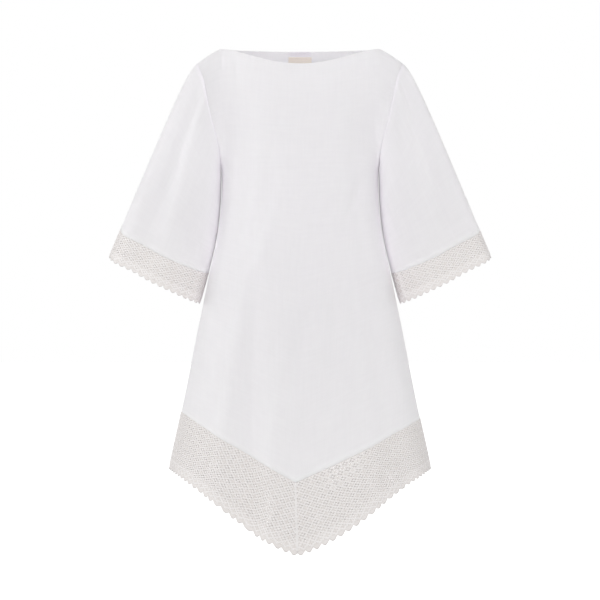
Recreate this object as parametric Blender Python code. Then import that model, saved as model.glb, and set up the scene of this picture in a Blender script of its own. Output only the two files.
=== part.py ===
"""A linen midi dress with a boat neck, flared sleeves and crochet bands at the cuffs and the pointed hem.

It keeps the hollow form in which it is worn, with nobody in it. Units are metres. +Z is up, the front faces
-Y and the wearer's right is at -X. The origin lies midway between the two neck points, the inner ends of the
shoulder seams, where the dress rests on the shoulders.
"""

import math
from collections import namedtuple

import bmesh
import bpy
from mathutils import Vector

FRONT, BACK = -1, 1
RIGHT, LEFT = -1, 1

LINEN_WALL = 0.0014
LACE_WALL = 0.0018
SEAM_GAP = 0.0004
CUFF_SEAM_GAP = 0.0006

NECK_HALF = 0.1718
SHOULDER_HALF = 0.2193
SHOULDER_DROP = 0.0300
SHOULDER_BOW = 1.12
FRONT_NECK_DROP = 0.0325
BACK_NECK_DROP = 0.0032
NECK_CURVE_HALF = 0.1650
NECK_CURVE_POWER = 1.6
UNDERARM_Z = -0.2620
ARMHOLE_REACH = 0.0620
ARMHOLE_POWER = 2.2
SHOULDER_ROLL = 0.0900
NECK_RISE = 0.0300
SECTION_POWER = 2.25
YOKE_SECTION_POWER = 3.0
YOKE_BLEND = 0.1100
ARMHOLE_BLEND = 3.0

SIDE_HEM_Z = {RIGHT: -0.7780, LEFT: -0.7930}
HEM_POINT_Z = -0.9270

# A scallop's roots lie a little above the crochet's mean edge. The points that round it off are given as the
# place between its roots and the part of its depth.
SCALLOP_DEPTH = 0.0056
SCALLOP_ROOT_RISE = 0.0036
SCALLOP_NEAR_SIDE = (0.22, 0.72)
SCALLOP_TIP = (0.50, 1.00)
SCALLOP_FAR_SIDE = (0.78, 0.72)
HEM_SCALLOPS = 28
CUFF_SCALLOPS = 34

NECK_COLUMNS = 7
SHOULDER_COLUMNS = 4
SKIRT_ROWS = 10
YOKE_ROWS = 12
HEM_LACE_ROWS = 3
SLEEVE_ROWS = 11
CUFF_ROWS = 2
FINE_STEPS = 400

CUFF_DEPTH = 0.0520
CUFF_HEM_DEPTH = 0.0580
CUFF_DIP = 0.0120
CUFF_HEM_DIP = 0.0075
SLEEVE_TOP_GAP = 0.00052
SLEEVE_UNDERARM_GAP = 0.00206
SLEEVE_START_DROP = 0.55
SLEEVE_FULLNESS = 1.16
SLEEVE_SPACING = 1.2

LABEL_WIDTH = 0.0500
LABEL_BACK_PANEL_ROWS = (18.6, 19.0, 19.8)
LABEL_WALL = 0.0010

SHARP_ANGLE = math.radians(50)

LINEN_COLOUR, LINEN_ROUGHNESS = (0.86, 0.85, 0.87, 1.0), 0.85
LACE_COLOUR, LACE_ROUGHNESS = (0.78, 0.75, 0.72, 1.0), 0.90
LABEL_COLOUR, LABEL_ROUGHNESS = (0.80, 0.74, 0.66, 1.0), 0.70

# The body's level sections: the height of each, its half width, and how far its front and back stand off the
# side seams.
Section = namedtuple("Section", "z half_width front back")
SECTIONS = (
    Section(z=-1.090, half_width=0.3180, front=0.170, back=0.176),
    Section(z=-0.894, half_width=0.2795, front=0.158, back=0.162),
    Section(z=-0.755, half_width=0.2494, front=0.148, back=0.148),
    Section(z=-0.604, half_width=0.2193, front=0.137, back=0.129),
    Section(z=-0.486, half_width=0.1946, front=0.131, back=0.114),
    Section(z=-0.411, half_width=0.1785, front=0.129, back=0.106),
    Section(z=-0.350, half_width=0.1700, front=0.128, back=0.104),
    Section(z=-0.300, half_width=0.1680, front=0.127, back=0.105),
    Section(z=-0.262, half_width=0.1690, front=0.124, back=0.107),
    Section(z=-0.215, half_width=0.1732, front=0.118, back=0.110),
    Section(z=-0.140, half_width=0.1924, front=0.103, back=0.107),
    Section(z=-0.062, half_width=0.2085, front=0.077, back=0.090),
    Section(z=-0.030, half_width=0.2193, front=0.063, back=0.076),
    Section(z=0.010, half_width=0.2193, front=0.048, back=0.060),
)

# The crochet's lower edge, from the centre, at share 0, to a side seam, at share 1.
Edge = namedtuple("Edge", "share z")
HEM_EDGE = (
    Edge(share=0.00, z=-1.0815),
    Edge(share=0.12, z=-1.0670),
    Edge(share=0.36, z=-1.0258),
    Edge(share=0.66, z=-0.9597),
    Edge(share=1.00, z=-0.8987),
)

# The centre front line, which leans a little to the wearer's right towards the hem.
Lean = namedtuple("Lean", "z shift")
CENTRE_LEAN = (
    Lean(z=-1.090, shift=-0.0050),
    Lean(z=-0.927, shift=-0.0095),
    Lean(z=-0.500, shift=0.0),
    Lean(z=0.010, shift=0.0),
)

# Soft ridges, or troughs where height is negative. Each grows from nothing at its top to full size at its low
# end, and its width grows from the part FOLD_TOP_WIDTH. FOLD_SPREAD is how far a fold moves cloth sideways.
FOLD_TOP_WIDTH = 0.55
FOLD_SPREAD = 0.45
Fold = namedtuple("Fold", "panel x_top z_top x_low z_low width height")
FOLDS = (
    Fold(panel=FRONT, x_top=-0.120, z_top=-0.420, x_low=-0.192, z_low=-0.930, width=0.034, height=0.012),
    Fold(panel=FRONT, x_top=-0.090, z_top=-0.330, x_low=-0.112, z_low=-0.930, width=0.030, height=-0.013),
    Fold(panel=FRONT, x_top=-0.020, z_top=-0.480, x_low=-0.055, z_low=-0.900, width=0.026, height=0.006),
    Fold(panel=FRONT, x_top=0.020, z_top=-0.520, x_low=0.018, z_low=-0.900, width=0.030, height=-0.005),
    Fold(panel=FRONT, x_top=0.110, z_top=-0.380, x_low=0.165, z_low=-0.930, width=0.036, height=0.010),
    Fold(panel=FRONT, x_top=0.130, z_top=-0.480, x_low=0.228, z_low=-0.920, width=0.024, height=-0.009),
    Fold(panel=FRONT, x_top=-0.100, z_top=-0.100, x_low=-0.125, z_low=-0.300, width=0.022, height=-0.005),
    Fold(panel=FRONT, x_top=0.110, z_top=-0.110, x_low=0.128, z_low=-0.320, width=0.022, height=-0.006),
    Fold(panel=BACK, x_top=-0.130, z_top=-0.400, x_low=-0.205, z_low=-0.930, width=0.034, height=0.010),
    Fold(panel=BACK, x_top=-0.085, z_top=-0.340, x_low=-0.128, z_low=-0.930, width=0.032, height=-0.012),
    Fold(panel=BACK, x_top=-0.020, z_top=-0.380, x_low=-0.040, z_low=-0.930, width=0.034, height=0.009),
    Fold(panel=BACK, x_top=0.050, z_top=-0.350, x_low=0.052, z_low=-0.930, width=0.030, height=-0.010),
    Fold(panel=BACK, x_top=0.115, z_top=-0.410, x_low=0.148, z_low=-0.930, width=0.034, height=0.011),
    Fold(panel=BACK, x_top=0.140, z_top=-0.460, x_low=0.226, z_low=-0.930, width=0.026, height=-0.008),
)

# The points that shape a sleeve in the front view, for the wearer's left. The mirrored ones shape the right.
OUTER_CUFF = Vector((0.3853, 0.0, -0.3870))
INNER_CUFF = Vector((0.1972, 0.0, -0.4795))
OUTER_HEM = Vector((0.4096, 0.0, -0.4450))
INNER_HEM = Vector((0.2150, 0.0, -0.5440))

# How a sleeve leaves the armhole and comes to the cuff, over the shoulder and under the arm.
Run = namedtuple("Run", "start_turn start_pull end_turn end_pull")
OVER_SHOULDER = Run(start_turn=32.0, start_pull=0.024, end_turn=67.3, end_pull=0.300)
UNDER_ARM = Run(start_turn=92.0, start_pull=0.070, end_turn=74.0, end_pull=0.090)

# Soft ridges and troughs along a sleeve. turn is the place round it in degrees, from the top over the front,
# and each column's first value is at the armhole and its second at the cuff.
CREASE_START = 0.12
CREASE_LEVEL = 0.30
Crease = namedtuple("Crease", "sleeve turn width height")
CREASES = (
    Crease(sleeve=RIGHT, turn=(48, 66), width=(13, 17), height=(-0.006, -0.005)),
    Crease(sleeve=RIGHT, turn=(24, 38), width=(12, 16), height=(0.003, 0.006)),
    Crease(sleeve=RIGHT, turn=(80, 104), width=(20, 20), height=(0.002, 0.005)),
    Crease(sleeve=RIGHT, turn=(230, 252), width=(16, 20), height=(-0.003, -0.007)),
    Crease(sleeve=RIGHT, turn=(290, 300), width=(16, 20), height=(0.002, 0.006)),
    Crease(sleeve=LEFT, turn=(40, 70), width=(13, 20), height=(-0.005, -0.006)),
    Crease(sleeve=LEFT, turn=(18, 34), width=(12, 16), height=(0.002, 0.005)),
    Crease(sleeve=LEFT, turn=(76, 110), width=(20, 18), height=(0.002, 0.004)),
    Crease(sleeve=LEFT, turn=(236, 262), width=(16, 20), height=(-0.003, -0.006)),
    Crease(sleeve=LEFT, turn=(286, 310), width=(16, 20), height=(0.002, 0.006)),
)


def mix(a, b, share):
    return a + (b - a) * share


def clamp(value):
    return min(max(value, 0.0), 1.0)


def ease(value):
    value = clamp(value)
    return value * value * (3 - 2 * value)


def along(rows, value, column):
    """A smooth curve through one column of a table, read where the table's first column has this value."""
    keys = [row[0] for row in rows]
    values = [getattr(row, column) for row in rows]
    last = len(keys) - 2
    i = max([0] + [k for k in range(len(keys) - 1) if (value - keys[k]) * (keys[-1] - keys[0]) >= 0])
    i = min(i, last)
    slopes = [(values[k + 1] - values[k]) / (keys[k + 1] - keys[k]) for k in range(len(keys) - 1)]
    ahead = slopes[i] if i == last else (slopes[i] + slopes[i + 1]) / 2
    behind = slopes[i] if i == 0 else (slopes[i] + slopes[i - 1]) / 2
    width = keys[i + 1] - keys[i]
    t = (value - keys[i]) / width
    if t < 0 or t > 1:
        return values[i] + (value - keys[i]) * slopes[i]
    t2, t3 = t * t, t * t * t
    return (
        values[i] * (2 * t3 - 3 * t2 + 1)
        + width * behind * (t3 - 2 * t2 + t)
        + values[i + 1] * (3 * t2 - 2 * t3)
        + width * ahead * (t3 - t2)
    )


def on_edge(keys, points, key):
    """The place on an edge that runs straight from point to point, where the key has this value."""
    i = max([0] + [k for k in range(len(keys) - 1) if keys[k] <= key])
    return points[i].lerp(points[i + 1], (key - keys[i]) / (keys[i + 1] - keys[i]))


def keys_at(keys, points, parts):
    """The keys at which a line through points has run these parts of its whole length."""
    lengths = [0.0]
    for a, b in zip(points, points[1:]):
        lengths.append(lengths[-1] + (b - a).length)
    found = []
    for part in parts:
        wanted = lengths[-1] * part
        i = min(max(k for k, length in enumerate(lengths) if length <= wanted), len(keys) - 2)
        found.append(mix(keys[i], keys[i + 1], (wanted - lengths[i]) / (lengths[i + 1] - lengths[i])))
    return found


# The body


def across(share):
    """The place across a section, as a part of its half width, for a share from one edge to the other."""
    turn = share * math.pi / 2
    return math.copysign(abs(math.sin(turn)) ** (2 / SECTION_POWER), share)


def share_at(part):
    """The share whose place across is this part of the half width."""
    return math.asin(part ** (SECTION_POWER / 2)) / (math.pi / 2)


def armhole_reach(z, top=-SHOULDER_DROP):
    """How far the armhole stands forward or back of the side seam, between the underarm and this height."""
    middle = (UNDERARM_Z + top) / 2
    part = abs((z - middle) / (top - middle))
    return 0.0 if part >= 1 else ARMHOLE_REACH * (1 - part**ARMHOLE_POWER) ** (1 / ARMHOLE_POWER)


def shoulder_top(x):
    """The top of the shoulder roll at this distance from the centre, which runs on above the neckline."""
    if abs(x) < NECK_HALF:
        return NECK_RISE * (1 - (x / NECK_HALF) ** 2)
    return -SHOULDER_DROP * ((abs(x) - NECK_HALF) / (SHOULDER_HALF - NECK_HALF)) ** SHOULDER_BOW


def fold_height(panel, x, z, part):
    """How far the folds push the cloth out here. They die away at the side seams."""
    height = 0.0
    for fold in FOLDS:
        if fold.panel != panel or z > fold.z_top:
            continue
        down = (fold.z_top - z) / (fold.z_top - fold.z_low)
        centre = mix(fold.x_top, fold.x_low, down)
        width = fold.width * mix(FOLD_TOP_WIDTH, 1.0, clamp(down))
        height += fold.height * ease(down) * math.exp(-(((x - centre) / width) ** 2))
    return height * (1 - part**6)


def body_point(panel, share, z):
    """The middle of the cloth on the front or back, at a share across and a height."""
    half = along(SECTIONS, z, "half_width")
    depth = along(SECTIONS, z, "front" if panel == FRONT else "back")
    place = across(share)
    part = abs(place)
    x = half * place
    top = shoulder_top(min(SHOULDER_HALF * part, SHOULDER_HALF))
    reach = armhole_reach(z, top)
    low_shape = (1 - min(part, 1.0) ** SECTION_POWER) ** (1 / SECTION_POWER)
    yoke_shape = 1 - part**YOKE_SECTION_POWER
    shape = mix(low_shape, yoke_shape, ease((z - UNDERARM_Z) / YOKE_BLEND))
    under_top = clamp((top - z) / SHOULDER_ROLL)
    roll = math.sqrt(1 - (1 - under_top) ** 2)
    out = (depth * shape * roll) ** ARMHOLE_BLEND + (reach * part * part) ** ARMHOLE_BLEND
    out = out ** (1 / ARMHOLE_BLEND)
    fold = fold_height(panel, x, z, part)
    if panel == FRONT:
        x += along(CENTRE_LEAN, z, "shift") * (1 - part) ** 2
    return Vector((x + FOLD_SPREAD * place * fold, panel * (out + fold), z))


def hem_seam_z(share):
    """The height of the seam that joins the linen to the crochet hem."""
    side = LEFT if share > 0 else RIGHT
    return mix(HEM_POINT_Z, SIDE_HEM_Z[side], abs(across(share)))


def hem_edge_z(share):
    return along(HEM_EDGE, abs(across(share)), "z")


def neckline_z(panel, share):
    """The panel's top edge: the shoulder seam outside the neck point and the neckline inside it."""
    x = SHOULDER_HALF * abs(across(share))
    if x >= NECK_HALF - 1e-6:
        return shoulder_top(x)
    if panel == BACK:
        return -BACK_NECK_DROP * (1 - (x / NECK_HALF) ** 2)
    inside = clamp(1 - (x / NECK_CURVE_HALF) ** 2)
    return -FRONT_NECK_DROP * inside**NECK_CURVE_POWER


def panel_shares():
    """The shares of a linen panel's columns. One runs up to each neck point."""
    neck = share_at(NECK_HALF / SHOULDER_HALF)
    half = [neck * k / NECK_COLUMNS for k in range(NECK_COLUMNS)]
    half += [mix(neck, 1.0, k / SHOULDER_COLUMNS) for k in range(SHOULDER_COLUMNS + 1)]
    return [-share for share in reversed(half[1:])] + half


def linen_panel(panel):
    """The front or back, as rows of points from the hem seam up to the neckline and shoulder seams."""
    rows = []
    shares = panel_shares()
    for row in range(SKIRT_ROWS + YOKE_ROWS + 1):
        points = []
        for share in shares:
            if row <= SKIRT_ROWS:
                z = mix(hem_seam_z(share) + SEAM_GAP / 2, UNDERARM_Z, row / SKIRT_ROWS)
            else:
                rise = (1 - math.cos(math.pi * (row - SKIRT_ROWS) / YOKE_ROWS)) / 2
                z = mix(UNDERARM_Z, neckline_z(panel, share), rise)
            point = body_point(panel, share, z)
            if abs(point.y) < SEAM_GAP / 2:
                point.y = panel * SEAM_GAP / 2
            points.append(point)
        rows.append(points)
    return rows


def even_shares(panel, side, count):
    """Shares from the centre to a side seam that are evenly spaced along the crochet's lower edge."""
    shares = [side * k / FINE_STEPS for k in range(FINE_STEPS + 1)]
    points = [body_point(panel, share, hem_edge_z(share)) for share in shares]
    return keys_at(shares, points, [k / count for k in range(count + 1)])


def shifted_from_seam(point, panel, share, side):
    """Half a seam's gap away from the centre seam and from the side seam, at those two ends."""
    if abs(share) < 1e-9:
        point.x += side * SEAM_GAP / 2
    elif abs(point.y) < SEAM_GAP / 2:
        point.y = panel * SEAM_GAP / 2
    return point


def hem_lace_panel(panel, side):
    """A quarter of the crochet hem: its rows of points, and the scallops that hang from the last row."""
    shares = even_shares(panel, side, HEM_SCALLOPS)
    seam_shares = panel_shares()
    seam = [body_point(panel, share, hem_seam_z(share) - SEAM_GAP / 2) for share in seam_shares]
    rows = []
    for row in range(HEM_LACE_ROWS + 1):
        down = row / HEM_LACE_ROWS
        points = []
        for share in shares:
            top, low = hem_seam_z(share) - SEAM_GAP / 2, hem_edge_z(share) + SCALLOP_ROOT_RISE
            to_seam = on_edge(seam_shares, seam, share) - body_point(panel, share, top)
            point = body_point(panel, share, mix(top, low, down)) + to_seam * (1 - down)
            points.append(shifted_from_seam(point, panel, share, side))
        rows.append(points)
    return rows


# The sleeves


def armhole_point(side, turn):
    """The armhole's edge at a turn: 0 is at the shoulder, and pi is under the arm, by way of the front."""
    z = mix(UNDERARM_Z, -SHOULDER_DROP, (1 + math.cos(turn)) / 2)
    panel = FRONT if math.sin(turn) >= 0 else BACK
    return Vector((side * along(SECTIONS, z, "half_width"), panel * armhole_reach(z), z))


def sleeve_start(side, turn):
    """Where the sleeve's cloth begins: a seam's gap from the armhole, and a wall's width under the arm."""
    under = (1 - math.cos(turn)) / 2
    away = Vector((side, 0.0, -SLEEVE_START_DROP * (1 - under))).normalized()
    return armhole_point(side, turn) + away * mix(SLEEVE_TOP_GAP, SLEEVE_UNDERARM_GAP, under**1.3)


def oval_point(side, outer, inner, depth, dip, turn):
    """A point round a cuff's oval, whose ends are the outer and inner points. The front dips below them."""
    centre, arm = (outer + inner) / 2, (outer - inner) / 2
    point = centre + arm * math.cos(turn) + (OUTER_HEM - OUTER_CUFF).normalized() * dip * math.sin(turn)
    return Vector((side * point.x, -depth * math.sin(turn), point.z))


def crease_height(side, turn, down):
    """How far the creases push the sleeve out at this turn, from the armhole, down 0, to the cuff, down 1."""
    height = 0.0
    for crease in CREASES:
        if crease.sleeve != side:
            continue
        centre = math.radians(mix(*crease.turn, clamp(down)))
        width = math.radians(mix(*crease.width, clamp(down)))
        height += mix(*crease.height, clamp(down)) * math.exp(-(((turn - centre) / width) ** 2))
    return height * ease(down / CREASE_START)


def creased(side, point, centre, turn, down):
    """The point moved by the creases, away from its ring's centre and mostly level."""
    out = point - centre
    out.z *= CREASE_LEVEL
    return point + out.normalized() * crease_height(side, turn, down)


def bezier_point(start, first, second, end, t):
    near = (1 - t) ** 3 * start + 3 * t * (1 - t) ** 2 * first
    far = 3 * t * t * (1 - t) * second + t**3 * end
    return near + far


def sleeve_run(side, turn, count):
    """Points down one line of the sleeve, from the armhole to the cuff seam, closer together near the top."""
    under = (1 - math.cos(turn)) / 2
    start = sleeve_start(side, turn)
    end = oval_point(side, OUTER_CUFF, INNER_CUFF, CUFF_DEPTH, CUFF_DIP, turn)
    start_turn = math.radians(mix(OVER_SHOULDER.start_turn, UNDER_ARM.start_turn, under))
    end_turn = math.radians(mix(OVER_SHOULDER.end_turn, UNDER_ARM.end_turn, under))
    start_pull = mix(OVER_SHOULDER.start_pull, UNDER_ARM.start_pull, under)
    end_pull = mix(OVER_SHOULDER.end_pull, UNDER_ARM.end_pull, under)
    leave = Vector((side * math.cos(start_turn), 0, -math.sin(start_turn))) * start_pull
    arrive = Vector((side * math.cos(end_turn), 0, -math.sin(end_turn))) * end_pull
    first, second = start + leave, end - arrive
    first.y *= SLEEVE_FULLNESS
    second.y *= SLEEVE_FULLNESS
    fine = [k / FINE_STEPS for k in range(FINE_STEPS + 1)]
    shares = keys_at(
        fine,
        [bezier_point(start, first, second, end, t) for t in fine],
        [(k / count) ** SLEEVE_SPACING for k in range(count + 1)],
    )
    return [bezier_point(start, first, second, end, t) for t in shares]


def sleeve_turns():
    """The turns round the armhole at which the body's rows end there."""
    return [math.pi * k / YOKE_ROWS for k in range(2 * YOKE_ROWS)]


def sleeve_rings(side):
    """The sleeve's rings from the armhole to the cuff seam, with its creases."""
    turns = sleeve_turns()
    runs = [sleeve_run(side, turn, SLEEVE_ROWS) for turn in turns]
    rings = []
    for row in range(SLEEVE_ROWS + 1):
        ring = [run[row] for run in runs]
        centre = sum(ring, Vector()) / len(ring)
        down = row / SLEEVE_ROWS
        rings.append([creased(side, point, centre, turn, down) for point, turn in zip(ring, turns)])
    return rings


def cuff_ring(side, turns, down):
    """A ring of the cuff's crochet: down is 0 at its seam and 1 at its lower edge."""
    outer, inner = OUTER_CUFF.lerp(OUTER_HEM, down), INNER_CUFF.lerp(INNER_HEM, down)
    depth, dip = mix(CUFF_DEPTH, CUFF_HEM_DEPTH, down), mix(CUFF_DIP, CUFF_HEM_DIP, down)
    ring = [oval_point(side, outer, inner, depth, dip, turn) for turn in turns]
    centre = sum(ring, Vector()) / len(ring)
    return [creased(side, point, centre, turn, 1.0) for point, turn in zip(ring, turns)]


def even_turns(count):
    """Turns that space points evenly round the cuff's lower edge."""
    turns = [2 * math.pi * k / FINE_STEPS for k in range(FINE_STEPS + 1)]
    points = [oval_point(LEFT, OUTER_HEM, INNER_HEM, CUFF_HEM_DEPTH, CUFF_HEM_DIP, turn) for turn in turns]
    return keys_at(turns, points, [k / count for k in range(count)])


def cuff_rings(side):
    """The cuff's rings of crochet. The first follows the straight lengths of the sleeve's last ring."""
    turns, seam_turns = even_turns(CUFF_SCALLOPS), sleeve_turns()
    cuff_length = (OUTER_HEM - OUTER_CUFF).length
    first, last = CUFF_SEAM_GAP / cuff_length, 1 - SCALLOP_ROOT_RISE / cuff_length
    seam = cuff_ring(side, seam_turns, first)
    seam_turns, seam = seam_turns + [2 * math.pi], seam + seam[:1]
    smooth = cuff_ring(side, turns, first)
    rings = []
    for row in range(CUFF_ROWS + 1):
        down = row / CUFF_ROWS
        ring = cuff_ring(side, turns, mix(first, last, down))
        to_seam = [on_edge(seam_turns, seam, turn) - point for turn, point in zip(turns, smooth)]
        rings.append([point + shift * (1 - down) for point, shift in zip(ring, to_seam)])
    return rings


# Walls of cloth


def normals_of(rows, closed):
    """The direction through the cloth at each point of a grid, from its neighbours."""
    found = []
    count = len(rows[0])
    for r, row in enumerate(rows):
        above, below = rows[min(r + 1, len(rows) - 1)], rows[max(r - 1, 0)]
        line = []
        for c in range(count):
            right = (c + 1) % count if closed else min(c + 1, count - 1)
            left = c - 1 if closed else max(c - 1, 0)
            line.append((row[right] - row[left]).cross(above[c] - below[c]).normalized())
        found.append(line)
    return found


def level_at_seams(rows, normals):
    """At a side or shoulder seam the wall's end lies in the seam's own plane."""
    for row, line in zip(rows, normals):
        for point, normal in zip(row, line):
            if abs(point.y) < SEAM_GAP:
                normal.y = 0.0
                normal.normalize()


def upright_at_centre(normals):
    """At the centre seam the wall's end lies in the seam's own plane."""
    for line in normals:
        line[0].x = 0.0
        line[0].normalize()


def make_wall(name, rows, normals, thickness, material, closed=False, scallops=False):
    """A wall of cloth whose middle runs through a grid of points, open at its sides or closed into a tube."""
    sheet = bmesh.new()
    through = sheet.verts.layers.float_vector.new("through")
    count = len(rows[0])
    columns = count + 1 if closed else count
    grid = bmesh.ops.create_grid(sheet, x_segments=columns - 1, y_segments=len(rows) - 1)["verts"]
    for i, vert in enumerate(grid):
        row, column = divmod(i, columns)
        vert.co = rows[row][column % count]
        vert[through] = normals[row][column % count]
    if scallops:
        hang_scallops(sheet, through, grid[-columns:], grid[-2 * columns:-columns])
    bmesh.ops.remove_doubles(sheet, verts=sheet.verts, dist=1e-6)
    bmesh.ops.triangulate(sheet, faces=sheet.faces, quad_method="FIXED")
    inner = list(sheet.verts)
    raised = bmesh.ops.extrude_face_region(sheet, geom=sheet.faces)["geom"]
    for vert in inner:
        vert.co -= vert[through] * thickness / 2
    for vert in raised:
        if isinstance(vert, bmesh.types.BMVert):
            vert.co += vert[through] * thickness / 2
    bmesh.ops.recalc_face_normals(sheet, faces=sheet.faces)
    mesh = bpy.data.meshes.new(name)
    sheet.to_mesh(mesh)
    sheet.free()
    mesh.shade_smooth()
    mesh.set_sharp_from_angle(angle=SHARP_ANGLE)
    mesh.materials.append(material)
    bpy.context.collection.objects.link(bpy.data.objects.new(name, mesh))


def hang_scallops(sheet, through, edge_line, line_above):
    """Hangs a tooth with a blunt round end from each length of the sheet's last edge."""
    lines = zip(edge_line, edge_line[1:], line_above, line_above[1:])
    for left, right, above_left, above_right in list(lines):
        corners = left.co.copy(), right.co.copy()
        down = (left.co + right.co - above_left.co - above_right.co).normalized()
        edge = sheet.edges.get((left, right))
        made = bmesh.ops.extrude_edge_only(sheet, edges=[edge])["geom"]
        low_edge = next(item for item in made if isinstance(item, bmesh.types.BMEdge))
        near, far = low_edge.verts if sheet.edges.get((left, low_edge.verts[0])) else reversed(low_edge.verts)
        tip = bmesh.utils.edge_split(low_edge, near, 0.5)[1]
        places = ((near, SCALLOP_NEAR_SIDE), (tip, SCALLOP_TIP), (far, SCALLOP_FAR_SIDE))
        for vert, (across_tooth, depth) in places:
            vert.co = corners[0].lerp(corners[1], across_tooth) + down * depth * SCALLOP_DEPTH
            vert[through] = left[through].lerp(right[through], across_tooth).normalized()


def cloth_material(name, colour, roughness):
    material = bpy.data.materials.new(name)
    material.use_nodes = True
    shader = material.node_tree.nodes["Principled BSDF"]
    shader.inputs["Base Color"].default_value = colour
    shader.inputs["Roughness"].default_value = roughness
    shader.inputs["Metallic"].default_value = 0.0
    return material


# The pieces


def make_linen_panels(linen):
    for panel, name in ((FRONT, "front"), (BACK, "back")):
        rows = linen_panel(panel)
        if panel == BACK:
            rows = [row[::-1] for row in rows]
        normals = normals_of(rows, closed=False)
        level_at_seams(rows, normals)
        make_wall(name, rows, normals, LINEN_WALL, linen)


def make_hem_lace(lace):
    names = {FRONT: "hem_lace_front", BACK: "hem_lace_back"}
    sides = {RIGHT: "right", LEFT: "left"}
    for panel in (FRONT, BACK):
        for side in (RIGHT, LEFT):
            rows = hem_lace_panel(panel, side)
            normals = normals_of(rows, closed=False)
            level_at_seams(rows, normals)
            upright_at_centre(normals)
            make_wall(f"{names[panel]}_{sides[side]}", rows, normals, LACE_WALL, lace, scallops=True)


def make_sleeves(linen, lace):
    for side, name in ((RIGHT, "right"), (LEFT, "left")):
        rings = sleeve_rings(side)
        normals = normals_of(rings, closed=True)
        make_wall(f"sleeve_{name}", rings, normals, LINEN_WALL, linen, closed=True)
        rings = cuff_rings(side)
        normals = normals_of(rings, closed=True)
        make_wall(f"cuff_lace_{name}", rings, normals, LACE_WALL, lace, closed=True, scallops=True)


def make_neck_label(woven):
    """A blank woven label that lies on the inside of the back, below the neckline."""
    panel = linen_panel(BACK)
    middle = len(panel[0]) // 2
    rows = []
    for place in LABEL_BACK_PANEL_ROWS:
        low, high = panel[int(place)], panel[int(place) + 1]
        line = [low[c].lerp(high[c], place % 1) for c in (middle + 1, middle, middle - 1)]
        part = LABEL_WIDTH / 2 / line[0].x
        rows.append([line[1].lerp(line[0], part), line[1], line[1].lerp(line[2], part)])
    normals = normals_of(rows, closed=False)
    inward = (LINEN_WALL + LABEL_WALL) / 2 + SEAM_GAP
    rows = [[point - normal * inward for point, normal in zip(row, line)] for row, line in zip(rows, normals)]
    make_wall("neck_label", rows, normals, LABEL_WALL, woven)


def main():
    for item in list(bpy.data.objects):
        bpy.data.objects.remove(item)
    linen = cloth_material("linen", LINEN_COLOUR, LINEN_ROUGHNESS)
    lace = cloth_material("crochet", LACE_COLOUR, LACE_ROUGHNESS)
    woven = cloth_material("woven_label", LABEL_COLOUR, LABEL_ROUGHNESS)
    make_linen_panels(linen)
    make_hem_lace(lace)
    make_sleeves(linen, lace)
    make_neck_label(woven)


main()
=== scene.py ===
"""The finish of a hollow linen midi dress with crochet bands at its cuffs and its pointed hem.

Every piece of cloth lies on the solid that it stands for, in metres, with +Z up, the front facing -Y and
the wearer's right at -X. The linen is a thin shell with soft creases. The crochet is a real net of threads,
with a knot in every other cell and a scalloped edge.
"""

import math
from bisect import bisect_right
from collections import namedtuple

import bmesh
import bpy
from mathutils import Matrix, Vector


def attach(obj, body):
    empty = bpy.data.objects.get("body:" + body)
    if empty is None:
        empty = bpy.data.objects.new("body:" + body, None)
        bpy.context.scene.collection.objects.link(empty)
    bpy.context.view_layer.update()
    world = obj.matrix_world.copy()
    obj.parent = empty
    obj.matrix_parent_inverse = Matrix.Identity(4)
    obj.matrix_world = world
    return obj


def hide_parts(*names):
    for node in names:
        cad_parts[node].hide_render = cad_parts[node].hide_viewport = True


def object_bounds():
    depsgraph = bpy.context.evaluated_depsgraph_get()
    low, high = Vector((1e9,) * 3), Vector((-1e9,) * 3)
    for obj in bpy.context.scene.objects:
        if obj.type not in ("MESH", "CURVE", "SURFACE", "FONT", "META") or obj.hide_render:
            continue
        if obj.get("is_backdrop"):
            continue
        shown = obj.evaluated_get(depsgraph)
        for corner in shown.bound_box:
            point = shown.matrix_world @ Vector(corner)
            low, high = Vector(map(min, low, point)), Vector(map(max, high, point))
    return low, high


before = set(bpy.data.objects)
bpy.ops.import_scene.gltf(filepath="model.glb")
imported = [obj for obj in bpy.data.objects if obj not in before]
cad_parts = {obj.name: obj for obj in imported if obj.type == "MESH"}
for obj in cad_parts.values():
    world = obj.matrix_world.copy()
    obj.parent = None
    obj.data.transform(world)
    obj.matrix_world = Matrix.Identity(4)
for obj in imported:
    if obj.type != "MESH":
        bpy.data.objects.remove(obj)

bl_info = {
    "name": "Linen and crochet midi dress",
    "version": (1, 0, 0),
    "blender": (4, 5, 0),
    "location": "View3D > Sidebar > Dress",
    "description": "Makes the linen, crochet and label of a midi dress, and its studio",
    "category": "Object",
}

SOLIDS_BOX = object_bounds()

FRONT, BACK = -1, 1
RIGHT, LEFT = -1, 1
PANEL_NAMES = {FRONT: "front", BACK: "back"}
SIDE_NAMES = {RIGHT: "right", LEFT: "left"}

SAME_POINT = 1e-6


def table(kind, rows):
    return [kind(*row) for row in rows]


# The dress's own form, as its solids have it

NECK_HALF = 0.1718
SHOULDER_HALF = 0.2193
SHOULDER_DROP = 0.0300
SHOULDER_BOW = 1.12
FRONT_NECK_DROP = 0.0325
BACK_NECK_DROP = 0.0032
NECK_CURVE_HALF = 0.1650
NECK_CURVE_POWER = 1.6
UNDERARM_Z = -0.2620
ARMHOLE_REACH = 0.0620
ARMHOLE_POWER = 2.2
SHOULDER_ROLL = 0.0900
NECK_RISE = 0.0300
SECTION_POWER = 2.25
YOKE_SECTION_POWER = 3.0
YOKE_BLEND = 0.1100
ARMHOLE_BLEND = 3.0

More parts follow.
